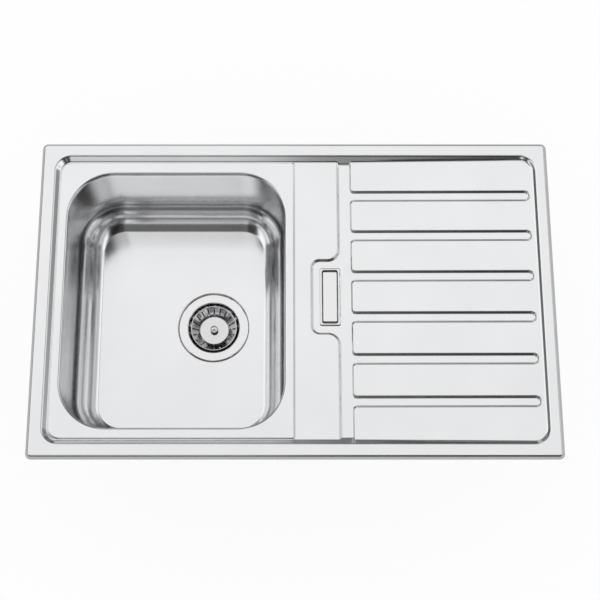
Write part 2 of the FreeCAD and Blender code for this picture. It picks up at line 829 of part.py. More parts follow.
def build_rim_seal():
    body = new_body("rim_seal")
    length = d.sink_length - (d.rim_bevel + d.sheet + d.rim_seal_gap) * 2
    width = d.sink_width - (d.rim_bevel + d.sheet + d.rim_seal_gap) * 2
    sketch = new_sketch(body, "ring")
    draw_rounded(sketch, length, width, d.rim_seal_radius)
    draw_rounded(sketch, length - d.rim_seal_width * 2, width - d.rim_seal_width * 2, d.rim_seal_radius)
    pad(sketch, d.rim_rise - d.sheet)
    keep(body, "rim_seal")


def build_damping_pads():
    pad_left = BOWL_LEFT + d.bowl_draft + d.bowl_floor_radius + d.bowl_pad_border
    pad_right = DRAIN_X - DISH_RADIUS - d.bowl_pad_gap
    bowl_pad = box("bowl_damping_pad", pad_right - pad_left, d.bowl_pad_width, d.pad_thickness,
                   pad_left, BOWL_SHIFT - d.bowl_pad_width / 2,
                   BOWL_FLOOR - d.sheet - d.pad_thickness)
    keep(bowl_pad, "bowl_damping_pad")
    strip_length = RECESS_RIGHT - DRAINER_START - d.drainer_pad_start - d.drainer_pad_end
    strips = []
    for number in range(1, int(d.channel_count.value)):
        strip = doc.addObject("Part::Box", "drainer_pad_%d" % number)
        bind(strip, "Length", strip_length)
        bind(strip, "Width", d.drainer_pad_width)
        bind(strip, "Height", d.pad_thickness)
        middle = (d.channel_count / 2 - number) * d.channel_pitch
        on_drainer(strip, d.drainer_pad_start, middle - d.drainer_pad_width / 2, NOTHING)
        bind(strip, "Placement.Base.z", drainer_height(d.drainer_pad_start) - d.sheet - d.pad_thickness)
        strips.append(strip)
    keep(group("drainer_damping_pads", strips), "drainer_damping_pads")


def at_drain(item, height=NOTHING):
    return place(item, DRAIN_X, BOWL_SHIFT, BOWL_FLOOR + height)


def build_waste_flange():
    under = d.top_gasket_thickness - d.dish_depth
    top = under + d.flange_sheet
    outer = d.cup_radius + d.cup_sheet
    hole = d.clamp_screw_radius + d.overflow_hole_gap
    body = turned_body("waste_flange", [
        (FLANGE_RADIUS, under),
        (FLANGE_RADIUS, under + d.flange_sheet / 2),
        (FLANGE_RADIUS - d.flange_sheet, top),
        (d.cup_radius + d.flange_sheet, top),
        (d.cup_radius, top - d.flange_sheet),
        (d.cup_radius, -d.cup_straight),
        (d.seat_radius, -d.seat_depth),
        (d.throat_radius, -d.seat_depth),
        (d.throat_radius, -SUMP_DEPTH),
        (hole, -SUMP_DEPTH),
        (hole, -SUMP_DEPTH - d.cup_sheet),
        (d.throat_radius + d.cup_sheet, -SUMP_DEPTH - d.cup_sheet),
        (d.throat_radius + d.cup_sheet, -d.seat_depth - d.cup_sheet),
        (d.seat_radius + d.cup_sheet / 2, -d.seat_depth - d.cup_sheet),
        (outer, -d.cup_straight - d.cup_sheet / 2),
        (outer, under)])
    sketch = new_sketch(body, "drain_hole", z=-SUMP_DEPTH + d.cup_sheet)
    draw_circle(sketch, d.sump_hole_radius, x=d.throat_radius - d.sump_hole_border - d.sump_hole_radius)
    repeat_round(pocket(sketch, d.cup_sheet * 4), d.sump_hole_count)
    keep(at_drain(body), "waste_flange")


def build_waste_gaskets():
    inner = DRAIN_HOLE_RADIUS + d.gasket_margin / 2
    top = ring_body("waste_top_gasket", FLANGE_RADIUS - d.gasket_margin, inner, d.top_gasket_thickness)
    keep(at_drain(top, -d.dish_depth), "waste_top_gasket")
    low = ring_body("waste_lower_gasket", BODY_FLANGE_RADIUS - d.gasket_margin, inner,
                    d.lower_gasket_thickness, down=True)
    keep(at_drain(low, -d.dish_depth - d.sheet), "waste_lower_gasket")


def build_basket():
    hole = d.stem_radius + d.stem_clearance
    rim = BASKET_RADIUS - d.basket_sheet
    body = turned_body("strainer_basket", [
        (BASKET_RADIUS, -d.basket_top_depth),
        (rim, -d.basket_top_depth),
        (d.basket_disc_radius, -BASKET_FLOOR_DEPTH),
        (hole, -BASKET_FLOOR_DEPTH),
        (hole, -BASKET_FLOOR_DEPTH - d.basket_sheet),
        (d.basket_disc_radius + d.basket_sheet / 2, -BASKET_FLOOR_DEPTH - d.basket_sheet),
        (BASKET_RADIUS, -d.basket_top_depth - d.basket_sheet)])
    sketch = new_sketch(body, "slot", x=(d.basket_disc_radius + rim) / 2, z=-d.basket_top_depth)
    length = rim - d.basket_disc_radius - d.slot_border * 2
    draw_outline(sketch, [
        (-length / 2, -d.slot_width / 2),
        (length / 2, -d.slot_width / 2),
        (length / 2, d.slot_width / 2),
        (-length / 2, d.slot_width / 2)])
    slot = pocket(sketch, BASKET_FLOOR_DEPTH)
    pattern = body.newObject("PartDesign::PolarPattern", "strainer_slots")
    pattern.Originals = [slot]
    pattern.Axis = ([item for item in body.Origin.OriginFeatures if item.Role == "Z_Axis"][0], [""])
    pattern.Angle = 360
    bind(pattern, "Occurrences", d.slot_count)
    body.Tip = pattern
    keep(at_drain(body), "strainer_basket")


def build_knob():
    ball = doc.addObject("Part::Sphere", "knob_ball")
    bind(ball, "Radius", d.knob_radius)
    at_drain(ball, -KNOB_CENTRE_DEPTH)
    neck_height = BASKET_FLOOR_DEPTH - KNOB_CENTRE_DEPTH
    neck = cylinder("knob_neck", d.stem_radius + d.knob_neck_wall, neck_height)
    at_drain(neck, -BASKET_FLOOR_DEPTH)
    bore_height = BASKET_FLOOR_DEPTH - STEM_TOP_DEPTH + d.stem_clearance
    bore = cylinder("knob_bore", d.stem_radius + d.stem_clearance, bore_height + d.overrun)
    at_drain(bore, -BASKET_FLOOR_DEPTH - d.overrun)
    keep(cut("basket_knob", fuse("knob_solid", ball, neck), bore), "basket_knob")


def build_stem():
    collar_top = -BASKET_FLOOR_DEPTH - d.basket_sheet - d.stem_clearance
    body = turned_body("basket_stem", [
        (NOTHING, -STEM_TOP_DEPTH),
        (d.stem_radius, -STEM_TOP_DEPTH),
        (d.stem_radius, collar_top),
        (d.stem_collar_radius, collar_top),
        (d.stem_collar_radius, collar_top - d.stem_collar_height),
        (d.stem_radius, collar_top - d.stem_collar_height),
        (d.stem_radius, -STEM_FOOT_DEPTH),
        (NOTHING, -STEM_FOOT_DEPTH)])
    keep(at_drain(body), "basket_stem")


def build_basket_seal():
    top = -BASKET_FLOOR_DEPTH - d.basket_sheet
    foot = -d.seat_depth + d.seal_gap
    body = turned_body("basket_seal", [
        (d.seal_inner_radius, top),
        (d.basket_disc_radius, top),
        (SEAL_LIP_RADIUS, foot),
        (SEAL_LIP_RADIUS - d.seal_thickness * 2, foot),
        (d.basket_disc_radius - d.seal_thickness, top - d.seal_thickness),
        (d.seal_inner_radius, top - d.seal_thickness)])
    keep(at_drain(body), "basket_seal")


def build_clamp_screw():
    head_top = d.clamp_head_height - SUMP_DEPTH
    socket = d.stem_radius + d.stem_clearance
    socket_floor = -STEM_FOOT_DEPTH - d.stem_clearance
    body = turned_body("waste_clamp_screw", [
        (socket, head_top),
        (d.clamp_head_radius, head_top),
        (d.clamp_head_radius, -SUMP_DEPTH),
        (d.clamp_screw_radius, -SUMP_DEPTH),
        (d.clamp_screw_radius, -SUMP_DEPTH - CLAMP_SCREW_LENGTH),
        (NOTHING, -SUMP_DEPTH - CLAMP_SCREW_LENGTH),
        (NOTHING, socket_floor),
        (socket, socket_floor)])
    keep(at_drain(body), "waste_clamp_screw")
    insert = ring_body("waste_clamp_insert", d.insert_radius, d.clamp_screw_radius,
                       d.insert_length, down=True)
    keep(at_drain(insert, -INSERT_DEPTH), "waste_clamp_insert")


def build_waste_body():
    """The plastic body: a shell of revolution with a side spigot, a ribbed hub and the outlet."""
    top = -d.dish_depth - d.sheet - d.lower_gasket_thickness
    throat = DRAIN_HOLE_RADIUS + d.gasket_margin / 2
    wall = d.body_wall
    outlet_top = -d.chamber_floor_depth - d.chamber_cone_depth
    outlet_foot = outlet_top - d.outlet_length
    straight = top - d.body_flange_thickness
    body = turned_body("waste_body", [
        (NOTHING, top),
        (BODY_FLANGE_RADIUS, top),
        (BODY_FLANGE_RADIUS, straight),
        (throat + wall, straight),
        (throat + wall, straight - wall),
        (CHAMBER_RADIUS + wall, -CHAMBER_TOP_DEPTH),
        (CHAMBER_RADIUS + wall, -d.chamber_floor_depth - wall / 2),
        (d.outlet_radius, outlet_top - wall / 2),
        (d.outlet_radius, outlet_foot),
        (NOTHING, outlet_foot)])
    start = CHAMBER_RADIUS / 2
    spigot = new_sketch(body, "spigot", "YZ_Plane", y=-PIPE_DEPTH, z=start)
    draw_circle(spigot, SPIGOT_RADIUS)
    pad(spigot, CHAMBER_RADIUS + wall + d.spigot_length - start)
    void = new_sketch(body, "void", "XZ_Plane")
    draw_outline(void, [
        (NOTHING, top + d.overrun),
        (throat, top + d.overrun),
        (throat, straight - wall),
        (CHAMBER_RADIUS, -CHAMBER_TOP_DEPTH),
        (CHAMBER_RADIUS, -d.chamber_floor_depth),
        (OUTLET_BORE_RADIUS, outlet_top),
        (OUTLET_BORE_RADIUS, outlet_foot - d.overrun),
        (NOTHING, outlet_foot - d.overrun)])
    turn_cut(void)
    hub = new_sketch(body, "hub", z=-d.chamber_floor_depth - d.cup_sheet)
    draw_circle(hub, d.hub_radius)
    pad(hub, d.hub_height)
    rib = new_sketch(body, "rib", z=-d.chamber_floor_depth - d.cup_sheet)
    draw_outline(rib, [
        (d.insert_radius, -d.hub_rib_width / 2),
        (CHAMBER_RADIUS + d.cup_sheet, -d.hub_rib_width / 2),
        (CHAMBER_RADIUS + d.cup_sheet, d.hub_rib_width / 2),
        (d.insert_radius, d.hub_rib_width / 2)])
    repeat_round(pad(rib, d.hub_rib_height), d.hub_rib_count)
    hub_bore = new_sketch(body, "hub_bore", z=-INSERT_DEPTH + d.overrun * 2)
    draw_circle(hub_bore, d.insert_radius)
    pocket(hub_bore, d.insert_length + d.overrun * 2)
    bore = new_sketch(body, "spigot_bore", "YZ_Plane", y=-PIPE_DEPTH, z=start)
    draw_circle(bore, SPIGOT_BORE_RADIUS)
    pocket(bore, CHAMBER_RADIUS + d.spigot_length + d.overrun, up=True)
    keep(at_drain(body), "waste_body")


def build_overflow_frame():
    radius = d.plate_radius + d.plate_gap
    body = new_body("overflow_frame")
    ring = new_sketch(body, "ring")
    draw_rounded(ring, FRAME_WIDTH, FRAME_LENGTH, d.frame_radius)
    draw_rounded(ring, OPENING_WIDTH, OPENING_LENGTH, radius)
    pad(ring, d.frame_height)
    skirt = new_sketch(body, "skirt", z=-d.skirt_depth)
    draw_rounded(skirt, OPENING_WIDTH + d.skirt_wall * 2, OPENING_LENGTH + d.skirt_wall * 2,
                 radius + d.skirt_wall)
    draw_rounded(skirt, OPENING_WIDTH, OPENING_LENGTH, radius)
    pad(skirt, d.skirt_depth)
    reach = OPENING_WIDTH / 2 + d.skirt_wall / 2
    for name, side in (("back_bar", 1), ("front_bar", -1)):
        bar = new_sketch(body, name, y=d.bar_place * side, z=-d.skirt_depth)
        draw_outline(bar, [(-reach, -d.bar_width / 2), (reach, -d.bar_width / 2),
                           (reach, d.bar_width / 2), (-reach, d.bar_width / 2)])
        pad(bar, d.bar_height)
        hole = new_sketch(body, name + "_hole", y=d.bar_place * side, z=d.frame_height)
        draw_circle(hole, d.overflow_screw_radius + d.overflow_hole_gap)
        pocket(hole, d.frame_height + d.skirt_depth)
    keep(at_overflow(body), "overflow_frame")


def at_overflow(item, height=NOTHING, y=NOTHING):
    return place(item, OVERFLOW_X, y, COLLECTOR_FLOOR + height)


def build_overflow_plate():
    """The plain cover plate, on four short feet that stand on the frame's bars."""
    bar_top = d.bar_height - d.skirt_depth
    plate_foot = d.frame_height - d.plate_thickness
    body = new_body("overflow_plate")
    sketch = new_sketch(body, "plate", z=plate_foot)
    draw_rounded(sketch, d.plate_width, d.plate_length, d.plate_radius)
    pad(sketch, d.plate_thickness)
    feet = new_sketch(body, "feet", z=bar_top)
    for side_x in (-1, 1):
        for side_y in (-1, 1):
            draw_circle(feet, d.plate_foot_radius, d.plate_foot_place * side_x, d.bar_place * side_y)
    pad(feet, plate_foot - bar_top)
    keep(at_overflow(body), "overflow_plate")


def build_overflow_screws():
    bar_top = d.bar_height - d.skirt_depth
    screws = []
    for name, side in (("back", 1), ("front", -1)):
        screw = turned_body("overflow_screw_" + name, [
            (NOTHING, d.overflow_head_height),
            (d.overflow_head_radius, d.overflow_head_height),
            (d.overflow_head_radius, NOTHING),
            (d.overflow_screw_radius, NOTHING),
            (d.overflow_screw_radius, -d.overflow_screw_length),
            (NOTHING, -d.overflow_screw_length)])
        screws.append(at_overflow(screw, bar_top, d.bar_place * side))
    keep(group("overflow_screws", screws), "overflow_screws")


def overflow_slot_size():
    """The opening under the frame, which leaves room round the frame's skirt."""
    gap = (d.skirt_wall + d.skirt_gap) * 2
    return OPENING_WIDTH + gap, OPENING_LENGTH + gap


def overflow_flange_size():
    """The outline of the housing's flange and of its gasket."""
    margin = d.housing_margin * 2 + d.housing_wall
    return OPENING_WIDTH + margin, OPENING_LENGTH + margin


def build_overflow_gasket():
    length, width = overflow_flange_size()
    body = new_body("overflow_gasket")
    sketch = new_sketch(body, "ring")
    draw_rounded(sketch, length, width, d.frame_radius)
    draw_rounded(sketch, *overflow_slot_size(), d.plate_radius)
    pad(sketch, d.overflow_gasket_thickness, down=True)
    keep(at_overflow(body, -d.sheet), "overflow_gasket")


def build_overflow_housing():
    """The box under the overflow, with two screw posts and a round outlet."""
    length, width = overflow_flange_size()
    inner_x, inner_y = overflow_slot_size()
    body = new_body("overflow_housing")
    flange = new_sketch(body, "flange", z=-d.housing_flange)
    draw_rounded(flange, length, width, d.frame_radius)
    pad(flange, d.housing_flange)
    shell = new_sketch(body, "shell", z=-d.housing_depth)
    draw_rounded(shell, inner_x + d.housing_wall * 2, inner_y + d.housing_wall * 2,
                 d.plate_radius + d.housing_wall)
    pad(shell, d.housing_depth - d.housing_flange / 2)
    tube = new_sketch(body, "tube", y=BOWL_SHIFT, z=-d.housing_depth - d.spigot_length)
    draw_circle(tube, SPIGOT_RADIUS)
    pad(tube, d.spigot_length + d.housing_wall)
    inside = new_sketch(body, "inside")
    draw_rounded(inside, inner_x, inner_y, d.plate_radius)
    pocket(inside, d.housing_depth - d.housing_wall)
    posts = new_sketch(body, "posts", z=d.housing_wall / 2 - d.housing_depth)
    for side in (-1, 1):
        draw_circle(posts, d.boss_radius, y=d.bar_place * side)
    pad(posts, d.housing_depth - d.housing_wall)
    holes = new_sketch(body, "post_holes")
    for side in (-1, 1):
        draw_circle(holes, d.overflow_screw_radius, y=d.bar_place * side)
    pocket(holes, d.housing_depth - d.housing_wall)
    bore = new_sketch(body, "bore", y=BOWL_SHIFT, z=d.housing_wall - d.housing_depth)
    draw_circle(bore, SPIGOT_BORE_RADIUS)
    pocket(bore, d.spigot_length + d.housing_wall * 2)
    keep(at_overflow(body, -d.sheet - d.overflow_gasket_thickness), "overflow_housing")


def build_overflow_pipe():
    """A rigid pipe: straight down from the overflow, one bend, and along to the waste body."""
    top = PIPE_TOP + d.pipe_insertion
    body = new_body("overflow_pipe")
    path = new_sketch(body, "path", "XZ_Plane")
    drop = top - PIPE_LEVEL - d.pipe_bend_radius
    along = OVERFLOW_X - SPIGOT_END + d.pipe_insertion
    bend = d.pipe_bend_radius.value
    line(path, (0, 0), (0, -drop.value))
    arc(path, (-bend, -drop.value), bend, -90, 0)
    line(path, (-bend, -drop.value - bend), (-along.value, -drop.value - bend))
    constrain(path, "Coincident", 0, 1, -1, 1)
    constrain(path, "Vertical", 0)
    constrain(path, "Tangent", 0, 2, 1, 2)
    constrain(path, "Tangent", 1, 1, 2, 1)
    constrain(path, "Horizontal", 2)
    measure(path, "Radius", (1,), d.pipe_bend_radius)
    measure(path, "DistanceY", (0, 2, -1, 1), drop)
    measure(path, "DistanceX", (2, 2, -1, 1), along)
    section = new_sketch(body, "section")
    draw_circle(section, d.pipe_radius)
    draw_circle(section, d.pipe_radius - d.pipe_wall)
    pipe = feature(section, "AdditivePipe", "sweep")
    pipe.Spine = (path, [])
    keep(place(body, OVERFLOW_X, BOWL_SHIFT, top), "overflow_pipe")


def fitting_nut(name):
    """A ribbed compression nut that hangs from the end of a spigot."""
    foot = -d.fitting_seal_length - d.nut_lip
    lip = d.pipe_radius + d.nut_lip_gap
    body = turned_body(name, [
        (SPIGOT_RADIUS, d.nut_overlap),
        (NUT_RADIUS, d.nut_overlap),
        (NUT_RADIUS, foot),
        (lip, foot),
        (lip, -d.fitting_seal_length),
        (SPIGOT_RADIUS, -d.fitting_seal_length)])
    rib = new_sketch(body, "rib", z=foot)
    half = d.nut_rib_width / 2
    draw_outline(rib, [
        (NUT_RADIUS - d.nut_rib_rise, -half),
        (NUT_RADIUS + d.nut_rib_rise, -half),
        (NUT_RADIUS + d.nut_rib_rise, half),
        (NUT_RADIUS - d.nut_rib_rise, half)])
    repeat_round(pad(rib, d.nut_overlap - foot), d.nut_rib_count)
    return body


def fitting_seal(name):
    return ring_body(name, SPIGOT_RADIUS, d.pipe_radius, d.fitting_seal_length, down=True)


def build_overflow_fittings():
    nuts = [fitting_nut("overflow_upper_nut"), fitting_nut("overflow_lower_nut")]
    seals = [fitting_seal("overflow_upper_seal"), fitting_seal("overflow_lower_seal")]
    for upper, lower in (nuts, seals):
        place(upper, OVERFLOW_X, BOWL_SHIFT, PIPE_TOP)
        place(lower, SPIGOT_END, BOWL_SHIFT, PIPE_LEVEL, turn=(0, 1, 0), angle=-90)
    keep(group("overflow_nuts", nuts), "overflow_nuts")
    keep(group("overflow_seals", seals), "overflow_seals")


def clamp_places():
    """Each clamp's screw axis and its outward turn: three at the back, three in front, one at each end."""
    back = CUTOUT_WIDTH / 2 - d.clamp_inset
    end = CUTOUT_LENGTH / 2 - d.clamp_inset
    places = []
    for step in (-1, 0, 1):
        places.append((CLAMP_SPACING * step, back, 0.0))
        places.append((CLAMP_SPACING * step, -back, 180.0))
    places.append((-end, NOTHING, 90.0))
    places.append((end, NOTHING, -90.0))
    return places


def at_clamp(item, clamp, height=NOTHING, extra=0.0):
    x, y, angle = clamp
    return place(item, x, y, height, turn=(0, 0, 1), angle=angle + extra)


def clamp_bracket(number, clamp):
    """A web that hangs from the rim, with a lug turned in under the deck for the screw."""
    name = "clamp_bracket_%d" % number
    web_height = d.bracket_depth + d.rim_rise - d.sheet
    web = box(name + "_web", d.bracket_width, d.bracket_sheet, web_height,
              -d.bracket_width / 2, d.bracket_offset, -d.bracket_depth)
    lug_width = d.bracket_tail + d.bracket_offset + d.bracket_sheet
    lug = box(name + "_lug", d.bracket_width, lug_width, d.bracket_sheet,
              -d.bracket_width / 2, -d.bracket_tail, -d.bracket_depth - d.bracket_sheet)
    hole = cylinder(name + "_hole", d.bolt_radius + d.bolt_gap, d.bracket_sheet * 3,
                    z=-d.bracket_depth - d.bracket_sheet * 2)
    return at_clamp(cut(name, fuse(name + "_sheet", web, lug), hole), clamp)


def clamp_screw(number, clamp):
    head_top = -d.bolt_top_depth - d.bolt_length
    body = turned_body("clamp_screw_%d" % number, [
        (NOTHING, -d.bolt_top_depth),
        (d.bolt_radius, -d.bolt_top_depth),
        (d.bolt_radius, head_top),
        (d.bolt_head_radius, head_top),
        (d.bolt_head_radius, head_top - d.bolt_head_height),
        (NOTHING, head_top - d.bolt_head_height)])
    return at_clamp(body, clamp)


def clamp_jaw(number, clamp):
    """A flat bar that swings on the screw, with an upturned tooth at its end."""
    low = d.jaw_lift - d.bolt_top_depth - d.bolt_length
    body = new_body("clamp_jaw_%d" % number)
    half = d.jaw_width / 2
    bar = new_sketch(body, "bar", z=low)
    draw_outline(bar, [(-half, -half), (d.jaw_length, -half), (d.jaw_length, half), (-half, half)])
    pad(bar, d.jaw_thickness)
    tooth = new_sketch(body, "tooth", z=low + d.jaw_thickness)
    draw_outline(tooth, [(d.jaw_length - d.jaw_thickness, -half), (d.jaw_length, -half),
                         (d.jaw_length, half), (d.jaw_length - d.jaw_thickness, half)])
    pad(tooth, d.jaw_tooth)
    hole = new_sketch(body, "hole", z=low + d.jaw_thickness * 2)
    draw_circle(hole, d.bolt_radius + d.bolt_gap)
    pocket(hole, d.jaw_thickness * 3)
    keep(at_clamp(body, clamp), "clamp_jaw_%d" % number)


def build_clamps():
    brackets = []
    screws = []
    for number, clamp in enumerate(clamp_places(), start=1):
        brackets.append(clamp_bracket(number, clamp))
        screws.append(clamp_screw(number, clamp))
        clamp_jaw(number, clamp)
    keep(group("clamp_brackets", brackets), "clamp_brackets")
    keep(group("clamp_screws", screws), "clamp_screws")


def check_document():
    """Stops if any object failed, or if a sub-part has no sound shape."""
    faults = []
    for item in doc.Objects:
        if "Invalid" in item.State or "Error" in item.State:
            faults.append("%s: %s" % (item.Name, item.getStatusString()))
    for label, item in PARTS.items():
        if item.Shape.isNull() or not item.Shape.isValid() or not item.Shape.Solids:
            faults.append("%s has no sound shape" % label)
    if faults:
        raise SystemExit("\n".join(faults))


def write_parts():
    os.makedirs("parts", exist_ok=True)
    for label, item in PARTS.items():
        item.Shape.exportStep(os.path.join("parts", label + ".step"))
        print("%-24s solids %d  volume %.1f" % (label, len(item.Shape.Solids), item.Shape.Volume))


build_deck()
build_bowl()
build_rim_seal()
build_damping_pads()
build_waste_flange()
build_waste_gaskets()
build_basket()
build_knob()
build_stem()
build_basket_seal()
build_clamp_screw()
build_waste_body()
build_overflow_frame()
build_overflow_plate()
build_overflow_screws()
build_overflow_gasket()
build_overflow_housing()
build_overflow_pipe()
build_overflow_fittings()
build_clamps()
doc.recompute()
check_document()
write_parts()
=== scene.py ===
"""The looks of an inset kitchen sink: satin steel deck and bowl, strainer waste, overflow and fittings.

Lengths are metres, and profiles are millimetres. The deck's top side is one height over the plan, so
that every bend runs smoothly into the next, and its mesh follows the bends' own outlines.
"""
import bpy
import math
import numpy as np
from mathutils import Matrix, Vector
from mathutils.geometry import delaunay_2d_cdt


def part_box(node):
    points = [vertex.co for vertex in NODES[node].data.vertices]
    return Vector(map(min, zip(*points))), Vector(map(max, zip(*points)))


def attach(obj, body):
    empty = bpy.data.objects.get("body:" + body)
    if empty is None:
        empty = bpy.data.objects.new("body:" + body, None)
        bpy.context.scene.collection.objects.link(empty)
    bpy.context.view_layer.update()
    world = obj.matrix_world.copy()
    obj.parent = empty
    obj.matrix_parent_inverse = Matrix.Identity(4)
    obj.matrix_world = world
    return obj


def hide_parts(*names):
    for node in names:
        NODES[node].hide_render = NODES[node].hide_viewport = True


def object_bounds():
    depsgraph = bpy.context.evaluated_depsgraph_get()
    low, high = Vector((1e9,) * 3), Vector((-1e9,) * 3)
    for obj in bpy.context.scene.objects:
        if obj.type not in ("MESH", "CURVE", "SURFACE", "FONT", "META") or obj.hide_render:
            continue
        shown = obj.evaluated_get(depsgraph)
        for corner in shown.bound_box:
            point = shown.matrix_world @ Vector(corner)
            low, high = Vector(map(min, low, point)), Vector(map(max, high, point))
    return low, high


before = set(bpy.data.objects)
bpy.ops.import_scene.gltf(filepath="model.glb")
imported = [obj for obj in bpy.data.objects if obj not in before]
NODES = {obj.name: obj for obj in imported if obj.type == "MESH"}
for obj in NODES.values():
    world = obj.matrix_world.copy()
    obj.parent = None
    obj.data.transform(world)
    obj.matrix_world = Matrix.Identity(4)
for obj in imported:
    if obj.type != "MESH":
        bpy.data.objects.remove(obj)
CAD_LOW, CAD_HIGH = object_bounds()
MM = 0.001

# Places read from the frame
DECK_LOW, DECK_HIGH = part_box("sink_deck")
FLANGE_LOW, FLANGE_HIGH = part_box("waste_flange")
FRAME_LOW, FRAME_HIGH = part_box("overflow_frame")
PLATE_LOW, PLATE_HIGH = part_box("overflow_plate")
RIM_TOP = DECK_HIGH.z
DRAIN_X = (FLANGE_LOW.x + FLANGE_HIGH.x) / 2
DRAIN_Y = (FLANGE_LOW.y + FLANGE_HIGH.y) / 2
OVERFLOW_X = (FRAME_LOW.x + FRAME_HIGH.x) / 2
OVERFLOW_Y = (FRAME_LOW.y + FRAME_HIGH.y) / 2

# Deck: rim, recess, island round the bowl, platform
SHEET = 0.8 * MM
BEVEL_RUN = 4.6 * MM
CORNER_RADIUS = 8.5 * MM
RECESS_LEFT = DECK_LOW.x + 22.0 * MM
RECESS_RIGHT = DECK_HIGH.x - 19.0 * MM
RECESS_HALF_WIDTH = DECK_HIGH.y - 22.0 * MM
RECESS_RADIUS = 25.0 * MM
RECESS_DEPTH = 8.0 * MM
RECESS_RUN = 7.6 * MM
RECESS_FLOOR = RIM_TOP - RECESS_DEPTH
MOAT = 2.4 * MM
ISLAND_LEFT = RECESS_LEFT + RECESS_RUN + MOAT
ISLAND_RIGHT = -2.0 * MM
ISLAND_HALF_WIDTH = RECESS_HALF_WIDTH - RECESS_RUN - MOAT
ISLAND_RADIUS = 17.0 * MM
ISLAND_END_RADIUS = 3.0 * MM
ISLAND_RISE = 2.0 * MM
ISLAND_RUN = 2.0 * MM
ISLAND_TOP = RECESS_FLOOR + ISLAND_RISE
PLATFORM_END = ISLAND_RIGHT + 68.2 * MM

# Deck: drainer, collector, channels, and the notch and slot of the overflow
DRAINER_START = PLATFORM_END + 21.9 * MM
DRAINER_RISE = 2.5 * MM
COLLECTOR_DEPTH = 3.0 * MM
COLLECTOR_FLOOR = RECESS_FLOOR - COLLECTOR_DEPTH
CUT_RUN = 2.5 * MM
CHANNEL_COUNT = 6
CHANNEL_PITCH = 65.2 * MM
CHANNEL_ROWS = [(index - (CHANNEL_COUNT - 1) / 2) * CHANNEL_PITCH for index in range(CHANNEL_COUNT)]
CHANNEL_RADIUS = 8.4 * MM
CHANNEL_DEPTH = 2.9 * MM
CHANNEL_ROOT = PLATFORM_END + 8.2 * MM
CHANNEL_END = RECESS_RIGHT - 10.5 * MM
CHANNEL_STEP = (-2.0 * MM, 6.0 * MM)
STEP_HALF_WIDTH = CHANNEL_RADIUS - CUT_RUN * 1.1
PANEL_CORNER_RADIUS = 4.5 * MM
NOTCH_LEFT = PLATFORM_END - 41.3 * MM
NOTCH_HALF_WIDTH = 59.4 * MM
NOTCH_RADIUS = 13.1 * MM
NOTCH_MOUTH_RADIUS = 16.4 * MM
OPENING_LENGTH = PLATE_HIGH.x - PLATE_LOW.x + 2.4 * MM
OPENING_WIDTH = PLATE_HIGH.y - PLATE_LOW.y + 4.8 * MM
OPENING_BORDER = 1.1 * MM

# Half widths of the pressed bends
RECESS_BEND = 1.5 * MM
RECESS_FOOT_BEND = 1.6 * MM
BEVEL_BEND = 2.0 * MM
ISLAND_BEND = 0.6 * MM
ISLAND_FOOT_BEND = 0.8 * MM
CUT_BEND_SHARE = 0.45
DISH_BEND_SHARE = 0.4

# Bowl
BOWL_LEFT = ISLAND_LEFT + 13.2 * MM
BOWL_RIGHT = BOWL_LEFT + 334.0 * MM
BOWL_BACK = ISLAND_HALF_WIDTH - 19.5 * MM
BOWL_FRONT = 15.5 * MM - ISLAND_HALF_WIDTH
BOWL_RADIUS = 70.0 * MM
BOWL_FLOOR = RIM_TOP - 175.0 * MM
BOWL_DRAFT = 2.0 * MM
FLOOR_RADIUS = 33.0 * MM
BEND_RADIUS = 45.0 * MM
FLOOR_CREASE = 0.44
CREASE_RUN = 1.5 * MM
MOUTH_RADIUS = 4.5 * MM
LIP_FOOT = ISLAND_TOP - 10.0 * MM
LEAN_GROW = -0.05 * MM
LEAN_START = 2.0 * MM
DISH_RADIUS = 57.5 * MM
DISH_START = DISH_RADIUS + 1.2 * MM
DISH_DEPTH = 2.5 * MM
DISH_RUN = 1.9 * MM
DRAIN_HOLE_RADIUS = 45.0 * MM

# Outlines: left, right, front, back, corner radius and the right corners' own radius
DECK_BOX = (DECK_LOW.x, DECK_HIGH.x, DECK_LOW.y, DECK_HIGH.y, CORNER_RADIUS)
RECESS_BOX = (RECESS_LEFT, RECESS_RIGHT, -RECESS_HALF_WIDTH, RECESS_HALF_WIDTH, RECESS_RADIUS)
ISLAND_BOX = (ISLAND_LEFT, ISLAND_RIGHT, -ISLAND_HALF_WIDTH, ISLAND_HALF_WIDTH, ISLAND_RADIUS,
              ISLAND_END_RADIUS)
NOTCH_BOX = (NOTCH_LEFT, DRAINER_START, -NOTCH_HALF_WIDTH, NOTCH_HALF_WIDTH, NOTCH_RADIUS)
BOWL_BOX = (BOWL_LEFT, BOWL_RIGHT, BOWL_FRONT, BOWL_BACK, BOWL_RADIUS)

# Turned profiles: reach, height over the bowl's floor and bend, in millimetres
FLANGE_PROFILE = [
    (20.0, -35.0, 0), (21.0, -35.0, 0.6), (21.0, -25.0, 0.4), (31.5, -25.0, 1.0), (42.9, -10.5, 2.0),
    (42.9, -1.5, 0.2), (56.8, -1.5, 0.1), (56.8, -0.9, 0.3), (55.6, -0.3, 0.8), (43.1, -0.3, 0.8),
    (41.9, -1.5, 0.8), (41.9, -10.0, 2.5), (31.0, -24.0, 1.5), (20.0, -24.0, 0.8), (20.0, -34.0, 0)]
STRAINER_PROFILE = [(37.5, -3.0, 0), (36.7, -3.0, 0.7), (23.3, -17.5, 1.6), (3.05, -17.5, 0)]
KNOB_NECK_PROFILE = [
    (0.0, -12.45, 0), (3.05, -12.45, 0.05), (3.05, -17.5, 0.05), (4.6, -17.5, 0.3), (4.6, -14.2, 0)]

